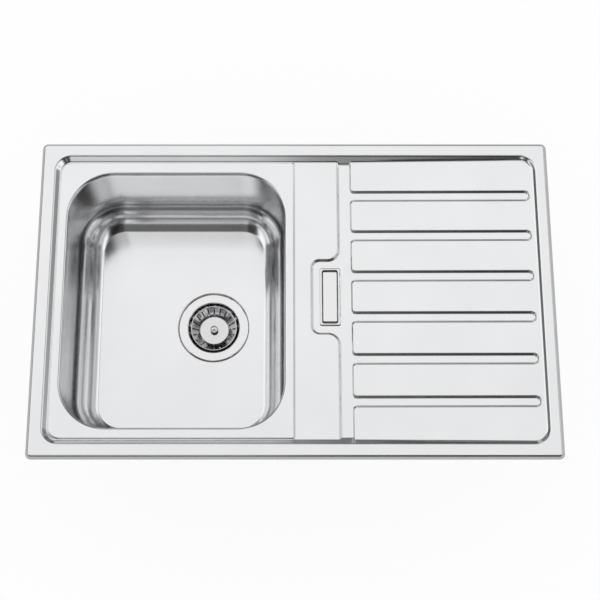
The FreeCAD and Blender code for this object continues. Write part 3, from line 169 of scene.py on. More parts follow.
# Waste: the flange's sump and its holes
SUMP_RADIUS = 20.0 * MM
SUMP_LOW = BOWL_FLOOR - 35.0 * MM
SUMP_HIGH = BOWL_FLOOR - 34.0 * MM
STEM_HOLE_RADIUS = 3.1 * MM
SUMP_HOLE_COUNT = 6
SUMP_HOLE_REACH = 12.5 * MM
SUMP_HOLE_RADIUS = 4.5 * MM

# Waste: the strainer's slots, along its profile and round it, in millimetres. Each end is a half round.
SLOT_COUNT = 20
SLOT_START = 24.6
SLOT_END = 35.4
SLOT_HALF_WIDTH = 1.0
SLOT_END_ROWS = np.array([0, 0.07, 0.3, 0.65, 1.0])
SLOT_MIDDLE_ROWS = [32.0, 30.0, 28.0]
DISC_ROWS = [16.0, 9.0]
SLOT_COLUMNS = 5

# Waste: the ball of the knob, in millimetres from the bowl's floor, and the height below it under which
# the knob is painted black as shade
KNOB_RADIUS = 6.2
KNOB_MIDDLE = -10.0
KNOB_NECK_ANGLE = -42.1
KNOB_SHADE_LINE = 10.6 * MM

# Overflow frame: half sizes and corner radii in millimetres
FRAME_OPENING = (11.85, 41.9, 3.0)
FRAME_OUTLINE = (16.0, 45.8, 3.0)
FRAME_THICKNESS = 2.0 * MM
FRAME_INNER_EDGE = 1.1
SKIRT_WIDTH = 0.8
FRAME_UNDER_GROW = -1.0
# Its outer edge: the outline's growth and the drop from the top in millimetres, and the normal's angle
FRAME_SLOPE = [(-0.4, 1.85, -45), (-0.1, 1.6, -20), (0.0, 1.45, 0), (-0.1, 1.25, 30), (-0.2, 1.15, 45),
               (-1.2, 0.2, 45), (-1.35, 0.08, 60), (-1.7, 0.0, 90)]
BAR_REACH = 22 * MM
BAR_HALF_LENGTH = 12.25 * MM
BAR_HALF_WIDTH = 4 * MM
BAR_THICKNESS = 1.2 * MM
BAR_HOLE_RADIUS = 2.1 * MM
BAR_MARGIN = 0.1 * MM

# Overflow cover plate, in millimetres but for its thickness
PLATE_OUTLINE = (10.65, 39.5, 1.8)
PLATE_THICKNESS = 1.2 * MM
PLATE_EDGE = 0.8
FOOT_PLACES = [(x, y) for x in (-8.0, 8.0) for y in (-22.0, 22.0)]
FOOT_RADIUS = 1.2
FOOT_BEND = 0.2

# Fineness of the meshes
CORNER_STEPS = 20
SMALL_CORNER_STEPS = 8
BEND_STEPS = 5
TURN_STEPS = 96
KNOB_STEPS = 48
BALL_ROWS = 22
SMALL_TURN_STEPS = 24
LIP_ANGLES = np.linspace(0, 90, 9)
WALL_SHARES = np.linspace(0.1, 0.7, 6)
FLOOR_BEND_STEPS = 22
FLOOR_BEND_END = 0.08
CREASE_SHARES = (1.3, 1.0, 0.8, 0.6, 0.4, 0.2, 0.0)
DISH_ROWS = (2.7, 2.2, 1.7, 1.2, 0.7, 0.2, -0.2, -0.6, -1.0, -1.4, -1.9)
STEP_SHARES = np.linspace(-0.2, 1.2, 9)
BEND_SHARES = (-1.3, -0.95, -0.6, -0.3, 0.0, 0.3, 0.6, 0.95, 1.3)
BEVEL_ROWS = [0.0, -0.9 * MM, -1.8 * MM]
BEVEL_FOOT_SPREAD = 1.25 * MM
RECESS_FOOT_SPREAD = 1.3 * MM
RECESS_MIDDLE_ROW = -3.3 * MM
ISLAND_FOOT_SPREAD = 0.6 * MM
OUTLINE_SPACING = 25 * MM
CUT_SPACING = 12 * MM
STEP_SPACING = 2 * MM
NO_SPACING = 1.0
SMALLEST_RADIUS = 0.05 * MM
NORMAL_STEP = 0.02 * MM
MERGE_DISTANCE = 1e-7
WELD_DISTANCE = 1e-6
WELD_NORMAL_SHARES = 50
SMALLEST_AREA = 1e-13
ROUNDING = 1e-6
JUST_INSIDE = 0.999
HOLE_SHARE = 0.98
FAR = 1.0


# Outlines and heights


def arc_points(centre_x, centre_y, radius, start, end, steps):
    """Points on an arc, both ends included. Angles are degrees."""
    angles = np.radians(np.linspace(start, end, steps + 1))
    return np.column_stack([centre_x + radius * np.cos(angles), centre_y + radius * np.sin(angles)])


def circle(x, y, radius, steps):
    return arc_points(x, y, radius, 0, 360, steps)[:-1]


def rounded_ring(left, right, low, high, radius, end_radius=None, grow=0.0, steps=CORNER_STEPS):
    """A rounded rectangle as a closed ring of points, grown outward by a distance."""
    end_radius = radius if end_radius is None else end_radius
    r = max(radius + grow, SMALLEST_RADIUS)
    e = max(end_radius + grow, SMALLEST_RADIUS)
    left, right, low, high = left - grow, right + grow, low - grow, high + grow
    return np.vstack([
        arc_points(right - e, low + e, e, -90, 0, steps),
        arc_points(right - e, high - e, e, 0, 90, steps),
        arc_points(left + r, high - r, r, 90, 180, steps),
        arc_points(left + r, low + r, r, 180, 270, steps)])


def ring_normals(steps=CORNER_STEPS):
    """The outward directions at the points of a rounded ring."""
    quarters = [np.linspace(start, start + 90, steps + 1) for start in (-90, 0, 90, 180)]
    angles = np.radians(np.concatenate(quarters))
    return np.column_stack([np.cos(angles), np.sin(angles)])


def at_height(flat, height):
    """Points on the plan raised to a height, or directions on the plan given an upward part."""
    return np.column_stack([flat, np.full(len(flat), height)])


def rounded_box_distance(x, y, left, right, low, high, radius, end_radius=None):
    """Signed distance to a rounded rectangle, negative inside."""
    middle = (left + right) / 2
    r = np.where(x > middle, radius if end_radius is None else end_radius, radius)
    qx = np.abs(x - middle) - (right - left) / 2 + r
    qy = np.abs(y - (low + high) / 2) - (high - low) / 2 + r
    outside = np.hypot(np.maximum(qx, 0), np.maximum(qy, 0))
    return outside + np.minimum(np.maximum(qx, qy), 0) - r


def round_union(a, b, radius):
    """The union of two shapes, with a round inner corner where they meet."""
    corner = np.hypot(np.maximum(radius - a, 0), np.maximum(radius - b, 0))
    return np.maximum(radius, np.minimum(a, b)) - corner


def soft_ramp(u, width):
    """Zero below, then rising one for one, with a bend of the given half width between."""
    return np.where(u <= -width, 0.0, np.where(u >= width, u, (u + width) ** 2 / (4 * width)))


def soft_step(u, width):
    """From zero to one as u does the same, with a soft bend at each end."""
    return soft_ramp(u, width) - soft_ramp(u - 1, width)


def smooth(share):
    """A share from zero to one that starts and ends gently."""
    return share * share * (3 - 2 * share)


def soft_max(a, b, width):
    mix = np.maximum(width - np.abs(a - b), 0) / width
    return np.maximum(a, b) + mix * mix * width / 4


def soft_min(a, b, width):
    return -soft_max(-a, -b, width)


def cut_distance(x, y):
    """Signed distance to the outline of the collector, the notch and the channels together."""
    notch = rounded_box_distance(x, y, *NOTCH_BOX)
    lowered = round_union(PLATFORM_END - x, notch, NOTCH_MOUTH_RADIUS)
    lowered = np.maximum(lowered, x - DRAINER_START)
    channels = np.full_like(x, FAR)
    for row in CHANNEL_ROWS:
        channel = rounded_box_distance(x, y, CHANNEL_ROOT, CHANNEL_END, row - CHANNEL_RADIUS,
                                       row + CHANNEL_RADIUS, CHANNEL_RADIUS)
        channels = np.minimum(channels, channel)
    return round_union(lowered, channels, PANEL_CORNER_RADIUS)


def deck_height(x, y):
    """The height of the deck's top side at points of the plan."""
    share = np.clip((x - DRAINER_START) / (RECESS_RIGHT - DRAINER_START), 0, None)
    panel = RECESS_FLOOR + DRAINER_RISE * share
    start, end = CHANNEL_STEP
    step = smooth(np.clip((x - DRAINER_START - start) / (end - start), 0, 1))
    low = COLLECTOR_FLOOR + (panel - CHANNEL_DEPTH - COLLECTOR_FLOOR) * step
    floor = panel + (low - panel) * soft_step(-cut_distance(x, y) / CUT_RUN, CUT_BEND_SHARE)

    island = rounded_box_distance(x, y, *ISLAND_BOX)
    land = ISLAND_TOP - soft_ramp(island, ISLAND_BEND) * ISLAND_RISE / ISLAND_RUN
    floor = soft_max(floor, land, ISLAND_FOOT_BEND)

    recess = rounded_box_distance(x, y, *RECESS_BOX)
    wall = RIM_TOP - soft_ramp(-recess, RECESS_BEND) * RECESS_DEPTH / RECESS_RUN
    top = soft_max(floor, wall, RECESS_FOOT_BEND)

    bevel = -rounded_box_distance(x, y, *DECK_BOX) * RIM_TOP / BEVEL_RUN
    return soft_min(top, bevel, BEVEL_BEND)


def floor_height(x, y):
    """The bowl's floor, with the round seat of the drain."""
    depth = (DISH_START - np.hypot(x - DRAIN_X, y - DRAIN_Y)) / DISH_RUN
    return BOWL_FLOOR - DISH_DEPTH * soft_step(depth, DISH_BEND_SHARE)


def heights_and_normals(height, points):
    """3-D points and their normals on a height over the plan."""
    x, y = points[:, 0], points[:, 1]
    h = NORMAL_STEP
    slope_x = (height(x + h, y) - height(x - h, y)) / (2 * h)
    slope_y = (height(x, y + h) - height(x, y - h)) / (2 * h)
    normals = np.column_stack([-slope_x, -slope_y, np.ones_like(x)])
    normals /= np.linalg.norm(normals, axis=1)[:, None]
    return np.column_stack([x, y, height(x, y)]), normals


def cut_rings(grow):
    """The outline of collector, notch and channels at an offset, as open runs of lines and arcs."""
    end = RECESS_HALF_WIDTH
    left = PLATFORM_END - grow
    half = NOTCH_HALF_WIDTH + grow
    flare = NOTCH_MOUTH_RADIUS - grow
    inner = NOTCH_RADIUS + grow
    back = NOTCH_LEFT - grow
    platform = np.vstack([
        [(left, -end)],
        arc_points(left - flare, -half - flare, flare, 0, 90, CORNER_STEPS),
        arc_points(back + inner, -half + inner, inner, 270, 180, CORNER_STEPS),
        arc_points(back + inner, half - inner, inner, 180, 90, CORNER_STEPS),
        arc_points(left - flare, half + flare, flare, -90, 0, CORNER_STEPS),
        [(left, end)]])
    right = DRAINER_START + grow
    corner = PANEL_CORNER_RADIUS - grow
    reach = CHANNEL_RADIUS + grow
    turn = CHANNEL_END - CHANNEL_RADIUS
    drainer = [np.array([(right, -end)])]
    for row in CHANNEL_ROWS:
        drainer += [
            arc_points(right + corner, row - reach - corner, corner, 180, 90, CORNER_STEPS // 2),
            arc_points(turn, row, reach, -90, 90, CORNER_STEPS * 2),
            arc_points(right + corner, row + reach + corner, corner, 270, 180, CORNER_STEPS // 2)]
    drainer.append(np.array([(right, end)]))
    return platform, np.vstack(drainer)


def offsets(fold, width):
    """Offsets that follow a bend, close together over its width."""
    return [fold + width * share for share in BEND_SHARES]


# Meshes


def subdivide(points, closed, spacing):
    """The points, with extra ones on long straight stretches."""
    result = []
    count = len(points)
    for index in range(count if closed else count - 1):
        a, b = points[index], points[(index + 1) % count]
        pieces = max(1, int(np.linalg.norm(b - a) / spacing))
        result += [a + (b - a) * step / pieces for step in range(pieces)]
    if not closed:
        result.append(points[-1])
    return np.array(result)


class Plan:
    """Outlines on the plan, joined into one triangulation."""

    def __init__(self):
        self.points = []
        self.edges = []

    def add(self, points, closed=True, spacing=OUTLINE_SPACING):
        points = subdivide(np.asarray(points, float), closed, spacing)
        start = len(self.points)
        count = len(points)
        self.points += [Vector(p) for p in points]
        self.edges += [(start + i, start + i + 1) for i in range(count - 1)]
        if closed:
            self.edges.append((start + count - 1, start))

    def triangulate(self, keep):
        """Points and triangles whose middles the test keeps."""
        made = delaunay_2d_cdt(self.points, self.edges, [], 0, MERGE_DISTANCE)
        points = np.array([tuple(p) for p in made[0]])
        faces = np.array([f for f in made[2] if len(f) == 3])
        middles = points[faces].mean(axis=1)
        faces = faces[keep(middles[:, 0], middles[:, 1])]
        a, b, c = (points[faces[:, i]] for i in range(3))
        area = (b[:, 0] - a[:, 0]) * (c[:, 1] - a[:, 1]) - (b[:, 1] - a[:, 1]) * (c[:, 0] - a[:, 0])
        faces[area < 0] = faces[area < 0][:, ::-1]
        faces = faces[np.abs(area) > SMALLEST_AREA]
        used, index = np.unique(faces, return_inverse=True)
        return points[used], index.reshape(faces.shape)


class Surface:
    """One side of a piece: points with their own normals, and faces."""

    def __init__(self):
        self.points = []
        self.normals = []
        self.faces = []
        self.count = 0

    def add(self, points, normals, faces):
        self.faces += [tuple(int(i) + self.count for i in face) for face in faces]
        self.points.append(np.asarray(points, float))
        self.normals.append(np.asarray(normals, float))
        self.count += len(points)

    def add_rings(self, rings, normals, closed=True, is_open=None):
        """Quads between rings of equal length, from the first to the last, but for the open ones."""
        size = len(rings[0])
        faces = []
        for row in range(len(rings) - 1):
            for i in range(size if closed else size - 1):
                if is_open and is_open(row, i):
                    continue
                j = (i + 1) % size
                here, there = row * size, (row + 1) * size
                faces.append((here + i, here + j, there + j, there + i))
        self.add(np.vstack(rings), np.vstack(normals), faces)

    def welded(self):
        """Points, normals and faces, with points joined that lie on each other and share a normal."""
        points, normals = np.vstack(self.points), np.vstack(self.normals)
        places = points.astype(np.float32).astype(float) / WELD_DISTANCE
        keys = np.round(np.column_stack([places, normals * WELD_NORMAL_SHARES])).astype(np.int64)
        _, first, index = np.unique(keys, axis=0, return_index=True, return_inverse=True)
        index = index.reshape(-1)
        joined = []
        for face in self.faces:
            corners = [index[i] for i in face]
            corners = [c for k, c in enumerate(corners) if c != corners[k - 1]]
            if len(set(corners)) >= 3:
                joined.append(tuple(corners))
        return points[first], normals[first], joined


def make_object(name, points, faces, loop_normals, material, body, replaces, slot):
    """A smooth mesh object with given normals, riding on a body."""
    mesh = bpy.data.meshes.new(name)
    mesh.from_pydata([tuple(p) for p in points], [], [tuple(f) for f in faces])
    mesh.polygons.foreach_set("use_smooth", [True] * len(mesh.polygons))
    mesh.update()
    mesh.normals_split_custom_set([tuple(n) for n in loop_normals])
    mesh.materials.append(material)
    item = bpy.data.objects.new(name, mesh)
    bpy.context.scene.collection.objects.link(item)
    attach(item, body)
    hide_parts(*replaces)
    return item


def sheet_object(name, surface, material, body, **options):
    """A sheet: the surface as its top side, a second side below it, and strips along its open edges."""
    points, normals, faces = surface.welded()
    count = len(points)
    both = np.vstack([points, points - normals * SHEET])
    edges = dict.fromkeys(edge for face in faces for edge in zip(face, face[1:] + face[:1]))
    open_edges = [edge for edge in edges if (edge[1], edge[0]) not in edges]
    all_faces = list(faces)
    loops = [normals[i] for face in faces for i in face]
    for face in faces:
        flipped = [i + count for i in reversed(face)]
        all_faces.append(flipped)
        loops += [-normals[i - count] for i in flipped]
    for a, b in open_edges:
        side = np.cross(both[a] - both[b], both[a + count] - both[a])
        length = np.linalg.norm(side)
        all_faces.append((b, a, a + count, b + count))
        loops += [side / length if length > 0 else normals[a]] * 4
    return make_object(name, both, all_faces, loops, material, body, **options)


def solid_object(name, surface, material, body, **options):
    """A closed form whose surface is all given."""
    points, normals, faces = surface.welded()
    loops = [normals[i] for face in faces for i in face]
    return make_object(name, points, faces, loops, material, body, **options)


def use_below(item, material, height):
    """Gives another material to the faces whose middles lie below a height."""
    item.data.materials.append(material)
    for polygon in item.data.polygons:
        polygon.material_index = int(polygon.center.z < height)


def bend_run(corners):
    """Points and outward directions along a run of (reach, height, bend) corners, with round bends."""
    points, normals = [], []
    last = len(corners) - 1
    for k, (reach, height, bend) in enumerate(corners):
        here = np.array([reach, height]) * MM
        ways = []
        for a, b in ((k - 1, k), (k, k + 1)):
            if a >= 0 and b <= last:
                way = np.array(corners[b][:2]) - np.array(corners[a][:2])
                ways.append(way / np.linalg.norm(way))
        start = np.array([ways[0][1], -ways[0][0]])
        if k in (0, last):
            points.append(here)
            normals.append(start)
            continue
        turn = math.atan2(ways[0][0] * ways[1][1] - ways[0][1] * ways[1][0], ways[0] @ ways[1])
        radius = math.copysign(bend * MM, turn)
        middle = here - ways[0] * abs(radius * math.tan(turn / 2)) - start * radius
        for angle in np.linspace(0, turn, BEND_STEPS + 1):
            c, s = math.cos(angle), math.sin(angle)
            normal = np.array([start[0] * c - start[1] * s, start[0] * s + start[1] * c])
            points.append(middle + normal * radius)
            normals.append(normal)
    return np.array(points), np.array(normals)


def add_turned(surface, x, y, z, corners, steps=TURN_STEPS):
    """A run of corners turned round an upright line."""
    points, normals = bend_run(corners)
    around = circle(0, 0, 1, steps)
    rings = [at_height(around * out + (x, y), z + up) for out, up in points]
    surface.add_rings(rings, [at_height(around * out, up) for out, up in normals])


def add_swept(surface, rows):
    """Rings given as (outline, grow, height, angle); the angle turns the normal from outward to up."""
    around = ring_normals(SMALL_CORNER_STEPS)
    rings, normals = [], []
    for outline, grow, height, angle in rows:
        ring = rounded_ring(*outline, grow=grow * MM, steps=SMALL_CORNER_STEPS)
        rings.append(at_height(ring, height))
        normals.append(at_height(around * math.cos(math.radians(angle)), math.sin(math.radians(angle))))
    surface.add_rings(rings, normals)


def rounded_rows(outline, side, height, radius, start, end):
    """Rows of a quarter-round edge. The side is 1 outside and -1 inside."""
    rows = []
    for angle in np.linspace(start, end, BEND_STEPS + 1):
        c, s = math.cos(math.radians(angle)), math.sin(math.radians(angle))
        rows.append((outline, radius * (c - side), height - radius * MM * (1 - s), angle))
    return rows


def add_flat(surface, outline, holes, low, high):
    """A flat plate between two heights, with round holes (x, y, radius) and their walls."""
    plan = Plan()
    plan.add(outline)
    for x, y, radius in holes:
        plan.add(circle(x, y, radius, SMALL_TURN_STEPS))

    def keep(x, y):
        solid = np.full(x.shape, True)
        for hole_x, hole_y, radius in holes:
            solid = solid & (np.hypot(x - hole_x, y - hole_y) > radius * HOLE_SHARE)
        return solid

    flat, faces = plan.triangulate(keep)
    up = np.tile((0.0, 0.0, 1.0), (len(flat), 1))
    surface.add(at_height(flat, high), up, faces)
    surface.add(at_height(flat, low), -up, faces[:, ::-1])
    for x, y, radius in holes:
        ring = circle(x, y, radius, SMALL_TURN_STEPS)
        inward = at_height(-(ring - (x, y)) / radius, 0.0)
        surface.add_rings([at_height(ring, height) for height in (high, low)], [inward, inward])


# The pieces' surfaces


def deck_surface():
    """The deck's top side, down to the foot of the lip round the bowl's mouth."""
    plan = Plan()
    for grow in BEVEL_ROWS + offsets(-BEVEL_RUN, BEVEL_FOOT_SPREAD):
        plan.add(rounded_ring(*DECK_BOX, grow=grow))
    recess_rows = offsets(0.0, RECESS_BEND) + offsets(-RECESS_RUN, RECESS_FOOT_SPREAD)
    for grow in recess_rows + [RECESS_MIDDLE_ROW]:
        plan.add(rounded_ring(*RECESS_BOX, grow=grow))
    for grow in offsets(0.0, ISLAND_BEND) + offsets(ISLAND_RUN, ISLAND_FOOT_SPREAD):
        plan.add(rounded_ring(*ISLAND_BOX, grow=grow))
    cut_bend = CUT_RUN * CUT_BEND_SHARE
    for grow in offsets(0.0, cut_bend) + offsets(-CUT_RUN, cut_bend) + [-CUT_RUN / 2]:
        for run in cut_rings(grow):
            plan.add(run, closed=False, spacing=CUT_SPACING)
    for row in CHANNEL_ROWS:
        for share in STEP_SHARES:
            across = DRAINER_START + CHANNEL_STEP[0] + (CHANNEL_STEP[1] - CHANNEL_STEP[0]) * share
            line = [(across, row - STEP_HALF_WIDTH), (across, row + STEP_HALF_WIDTH)]
            plan.add(line, closed=False, spacing=STEP_SPACING)
    half_x = OPENING_LENGTH / 2 + OPENING_BORDER
    half_y = OPENING_WIDTH / 2 + OPENING_BORDER
    plan.add([(OVERFLOW_X - half_x, OVERFLOW_Y - half_y), (OVERFLOW_X + half_x, OVERFLOW_Y - half_y),
              (OVERFLOW_X + half_x, OVERFLOW_Y + half_y), (OVERFLOW_X - half_x, OVERFLOW_Y + half_y)])
    plan.add(rounded_ring(*BOWL_BOX, grow=MOUTH_RADIUS), spacing=NO_SPACING)

    def keep(x, y):
        inside = rounded_box_distance(x, y, *DECK_BOX) < 0
        beside_mouth = rounded_box_distance(x, y, *BOWL_BOX) > MOUTH_RADIUS * JUST_INSIDE
        in_opening = (np.abs(x - OVERFLOW_X) < half_x) & (np.abs(y - OVERFLOW_Y) < half_y)
        return inside & beside_mouth & ~in_opening

    flat, faces = plan.triangulate(keep)
    points, normals = heights_and_normals(deck_height, flat)
    surface = Surface()
    surface.add(points, normals, faces)

    around = ring_normals()
    rings, directions = [], []
    for angle in np.radians(LIP_ANGLES):
        ring = rounded_ring(*BOWL_BOX, grow=MOUTH_RADIUS * (1 - math.sin(angle)))
        rings.append(at_height(ring, ISLAND_TOP - MOUTH_RADIUS * (1 - math.cos(angle))))
        directions.append(at_height(-around * math.sin(angle), math.cos(angle)))
    rings.append(rings[-1] * (1, 1, 0) + (0, 0, LIP_FOOT))
    directions.append(directions[-1])
    surface.add_rings(rings, directions)
    return surface


def bowl_surface():
    """The bowl's inner side: drafted walls, a bend with a crease at its foot, and the floor."""
    surface = Surface()
    around = ring_normals()
    rings, directions = [], []

    def add_ring(grow, height, out, up):
        rings.append(at_height(rounded_ring(*BOWL_BOX, grow=grow), height))
        directions.append(at_height(-around * out, up))

    wall_height = LIP_FOOT - BOWL_FLOOR
    lean = math.atan(BOWL_DRAFT / wall_height)
    lean_out, lean_up = math.cos(lean), math.sin(lean)
    add_ring(0.0, LIP_FOOT, 1.0, 0.0)
    add_ring(LEAN_GROW, LIP_FOOT - LEAN_START, lean_out, lean_up)
    for share in WALL_SHARES:
        add_ring(-BOWL_DRAFT * share, LIP_FOOT - wall_height * share, lean_out, lean_up)

    foot = -BOWL_DRAFT - FLOOR_RADIUS * math.tan((math.pi / 2 - lean) / 2)
    start = math.sqrt(1 - (1 - FLOOR_RADIUS / BEND_RADIUS) ** 2)
    bend_angles = np.linspace(math.pi / 2 - lean, FLOOR_BEND_END, FLOOR_BEND_STEPS)
    reaches = list(FLOOR_RADIUS * np.sin(bend_angles))
    for reach in reaches + [CREASE_RUN * share for share in CREASE_SHARES]:
        crease = FLOOR_CREASE * smooth(np.clip(reach / CREASE_RUN, 0, 1))
        out = min(crease + (1 - FLOOR_CREASE) * reach / FLOOR_RADIUS, lean_out)
        bend = 1 - (FLOOR_RADIUS - reach) / BEND_RADIUS
        height = BOWL_FLOOR + BEND_RADIUS * (start - math.sqrt(1 - bend * bend))
        add_ring(foot + reach, height, out, math.sqrt(1 - out * out))
    surface.add_rings(rings, directions)

    plan = Plan()
    plan.add(rounded_ring(*BOWL_BOX, grow=foot), spacing=NO_SPACING)
    for reach in DISH_ROWS:
        plan.add(circle(DRAIN_X, DRAIN_Y, DISH_RADIUS + reach * MM, TURN_STEPS))
    plan.add(circle(DRAIN_X, DRAIN_Y, DRAIN_HOLE_RADIUS, TURN_STEPS))

    def keep(x, y):
        inside = rounded_box_distance(x, y, *BOWL_BOX) < foot
        return inside & (np.hypot(x - DRAIN_X, y - DRAIN_Y) > DRAIN_HOLE_RADIUS * JUST_INSIDE)

    flat, faces = plan.triangulate(keep)
    points, normals = heights_and_normals(floor_height, flat)
    surface.add(points, normals, faces)
    return surface


def flange_surface():
    """The waste's flange, cup and perforated sump, round the middle of the drain."""
    surface = Surface()
    add_turned(surface, DRAIN_X, DRAIN_Y, BOWL_FLOOR, FLANGE_PROFILE)
    holes = [(DRAIN_X, DRAIN_Y, STEM_HOLE_RADIUS)]
    for angle in np.radians(np.arange(SUMP_HOLE_COUNT) * 360 / SUMP_HOLE_COUNT):
        holes.append((DRAIN_X + SUMP_HOLE_REACH * math.cos(angle),
                      DRAIN_Y + SUMP_HOLE_REACH * math.sin(angle), SUMP_HOLE_RADIUS))
    add_flat(surface, circle(DRAIN_X, DRAIN_Y, SUMP_RADIUS, TURN_STEPS), holes, SUMP_LOW, SUMP_HIGH)
    return surface


def basket_surface():
    """The strainer's upper side: a flat disc and a slotted cone.

    Rows run inward. Columns follow the sides of the slots, and the faces between two slots' sides
    are left open.
    """
    points, normals = bend_run(STRAINER_PROFILE)
    reach = points[:, 0] / MM
    slot_rows = np.concatenate([SLOT_END - SLOT_END_ROWS, SLOT_MIDDLE_ROWS,
                                SLOT_START + SLOT_END_ROWS[::-1]])
    pitch = 2 * math.pi / SLOT_COUNT
    rings, directions, open_rows = [], [], []
    for r in np.unique(np.concatenate([reach, slot_rows, DISC_ROWS]))[::-1]:
        height = np.interp(r, reach[::-1], points[::-1, 1])
        out = np.interp(r, reach[::-1], normals[::-1, 0])
        in_slot = SLOT_START - ROUNDING <= r <= SLOT_END + ROUNDING
        end = max(SLOT_HALF_WIDTH - (r - SLOT_START), SLOT_HALF_WIDTH - (SLOT_END - r), 0)
        width = math.sqrt(max(SLOT_HALF_WIDTH ** 2 - end * end, 0)) if in_slot else SLOT_HALF_WIDTH
        half = math.asin(width / r)
        sides = np.linspace(half, pitch - half, SLOT_COLUMNS)
        angles = np.concatenate([slot * pitch + sides for slot in range(SLOT_COUNT)])
        ring = np.column_stack([np.cos(angles), np.sin(angles)])
        rings.append(at_height(ring * r * MM + (DRAIN_X, DRAIN_Y), BOWL_FLOOR + height))
        directions.append(at_height(ring * out, math.sqrt(1 - out * out)))
        open_rows.append(in_slot)

    def is_open(row, column):
        return column % SLOT_COLUMNS == SLOT_COLUMNS - 1 and open_rows[row] and open_rows[row + 1]

    surface = Surface()
    surface.add_rings(rings, directions, is_open=is_open)
    return surface


def knob_surface():
    """The basket's ball knob on its neck, with the bore for the stem."""
    surface = Surface()
    add_turned(surface, DRAIN_X, DRAIN_Y, BOWL_FLOOR, KNOB_NECK_PROFILE, KNOB_STEPS)
    around = circle(0, 0, 1, KNOB_STEPS)
    rings, directions = [], []
    for angle in np.radians(np.linspace(KNOB_NECK_ANGLE, 90, BALL_ROWS)):
        c, s = math.cos(angle), math.sin(angle)
        height = BOWL_FLOOR + (KNOB_RADIUS * s + KNOB_MIDDLE) * MM
        rings.append(at_height(around * KNOB_RADIUS * MM * c + (DRAIN_X, DRAIN_Y), height))
        directions.append(at_height(around * c, s))
    surface.add_rings(rings, directions)
    return surface


def about_overflow(half_x, half_y, radius):
    """The outline of a rounded rectangle round the overflow's middle, from millimetres."""
    return (OVERFLOW_X - half_x * MM, OVERFLOW_X + half_x * MM,
            OVERFLOW_Y - half_y * MM, OVERFLOW_Y + half_y * MM, radius * MM)


def frame_surface():
    """The raised frame: its ring with soft edges, the skirt below it and two screw bars."""
    top = FRAME_HIGH.z
    base = top - FRAME_THICKNESS
    foot = FRAME_LOW.z
    opening = about_overflow(*FRAME_OPENING)
    outer = about_overflow(*FRAME_OUTLINE)
    surface = Surface()
    add_swept(surface, [(opening, 0, foot, -90), (opening, SKIRT_WIDTH, foot, -90)])
    add_swept(surface, [(opening, SKIRT_WIDTH, foot, 0), (opening, SKIRT_WIDTH, base, 0)])
    add_swept(surface, [(opening, SKIRT_WIDTH, base, -90), (outer, FRAME_UNDER_GROW, base, -90)])
    rows = [(outer, FRAME_UNDER_GROW, base, -50)]
    rows += [(outer, grow, top - drop * MM, angle) for grow, drop, angle in FRAME_SLOPE]
    rows += rounded_rows(opening, -1, top, FRAME_INNER_EDGE, 90, 180)
    add_swept(surface, rows + [(opening, 0, foot, 180)])
    bar_top = foot + BAR_THICKNESS
    left, right = OVERFLOW_X - BAR_HALF_LENGTH, OVERFLOW_X + BAR_HALF_LENGTH
    for side in (-1, 1):
        y = OVERFLOW_Y + BAR_REACH * side
        low, high = y - BAR_HALF_WIDTH, y + BAR_HALF_WIDTH
        bar = [(left, low), (right, low), (right, high), (left, high)]
        add_flat(surface, bar, [(OVERFLOW_X, y, BAR_HOLE_RADIUS)], foot, bar_top)
        for line, way in ((bar[:2], -1.0), (bar[2:], 1.0)):
            rings = [[(*point, height) for point in line] for height in (foot, bar_top)]
            surface.add_rings(rings, [[(0, way, 0)] * 2] * 2, closed=False)
    return surface


def plate_surface():
    """The plain cover plate with soft edges, on four short feet."""
    top = PLATE_HIGH.z
    base = top - PLATE_THICKNESS
    outline = about_overflow(*PLATE_OUTLINE)
    surface = Surface()
    add_swept(surface, [(outline, 0, base, 0)] + rounded_rows(outline, 1, top, PLATE_EDGE, 0, 90))
    for height, grow, up in ((top, -PLATE_EDGE, 1.0), (base, 0.0, -1.0)):
        ring = rounded_ring(*outline, grow=grow * MM, steps=SMALL_CORNER_STEPS)
        order = list(range(len(ring)))
        face = order if up > 0 else order[::-1]
        surface.add(at_height(ring, height), np.tile((0.0, 0.0, up), (len(ring), 1)), [face])
    drop = (PLATE_LOW.z - base) / MM
    foot = [(0.0, drop, 0), (FOOT_RADIUS, drop, FOOT_BEND), (FOOT_RADIUS, 0.0, 0)]
    for x, y in FOOT_PLACES:
        add_turned(surface, OVERFLOW_X + x * MM, OVERFLOW_Y + y * MM, base, foot, SMALL_TURN_STEPS)
    return surface


# Shader nodes. Their inputs are values or the outputs of other nodes.
WHITE = (1, 1, 1, 1)


def set_input(tree, socket, value):
    if isinstance(value, bpy.types.NodeSocket):
        tree.links.new(value, socket)
    else:
        socket.default_value = value


def add_node(tree, kind, inputs):
    node = tree.nodes.new("ShaderNode" + kind)
    for name, value in inputs.items():
        set_input(tree, node.inputs[name], value)
    return node


def calculate(tree, operation, *values):
    node = add_node(tree, "Math", dict(enumerate(values)))
    node.operation = operation
    return node.outputs["Value"]


def smooth_step(tree, value, start, end):
    node = add_node(tree, "MapRange", {"Value": value, "From Min": start, "From Max": end})
    node.interpolation_type = "SMOOTHSTEP"
    return node.outputs["Result"]


def mix_colours(tree, share, first, second, blend="MIX"):
    node = add_node(tree, "MixRGB", {"Fac": share, "Color1": first, "Color2": second})
    node.blend_type = blend
    return node.outputs["Color"]


def mix_shaders(tree, share, first, second):
    return add_node(tree, "MixShader", {"Fac": share, 1: first, 2: second}).outputs["Shader"]


def noise(tree, place, scale, detail):
    node = add_node(tree, "TexNoise", {"Vector": place, "Scale": scale, "Detail": detail})
    return node.outputs["Fac"]


# Materials

STEEL_GRAIN_DETAIL = 3.0
STEEL_RELIEF = 0.1 * MM
STEEL_TINT_SCALE = 9.0
STEEL_TINT_DETAIL = 2.0
MOULDED_DETAIL = 4.0
MOULDED_SPREAD = 0.08
MOULDED_RELIEF = 0.2 * MM


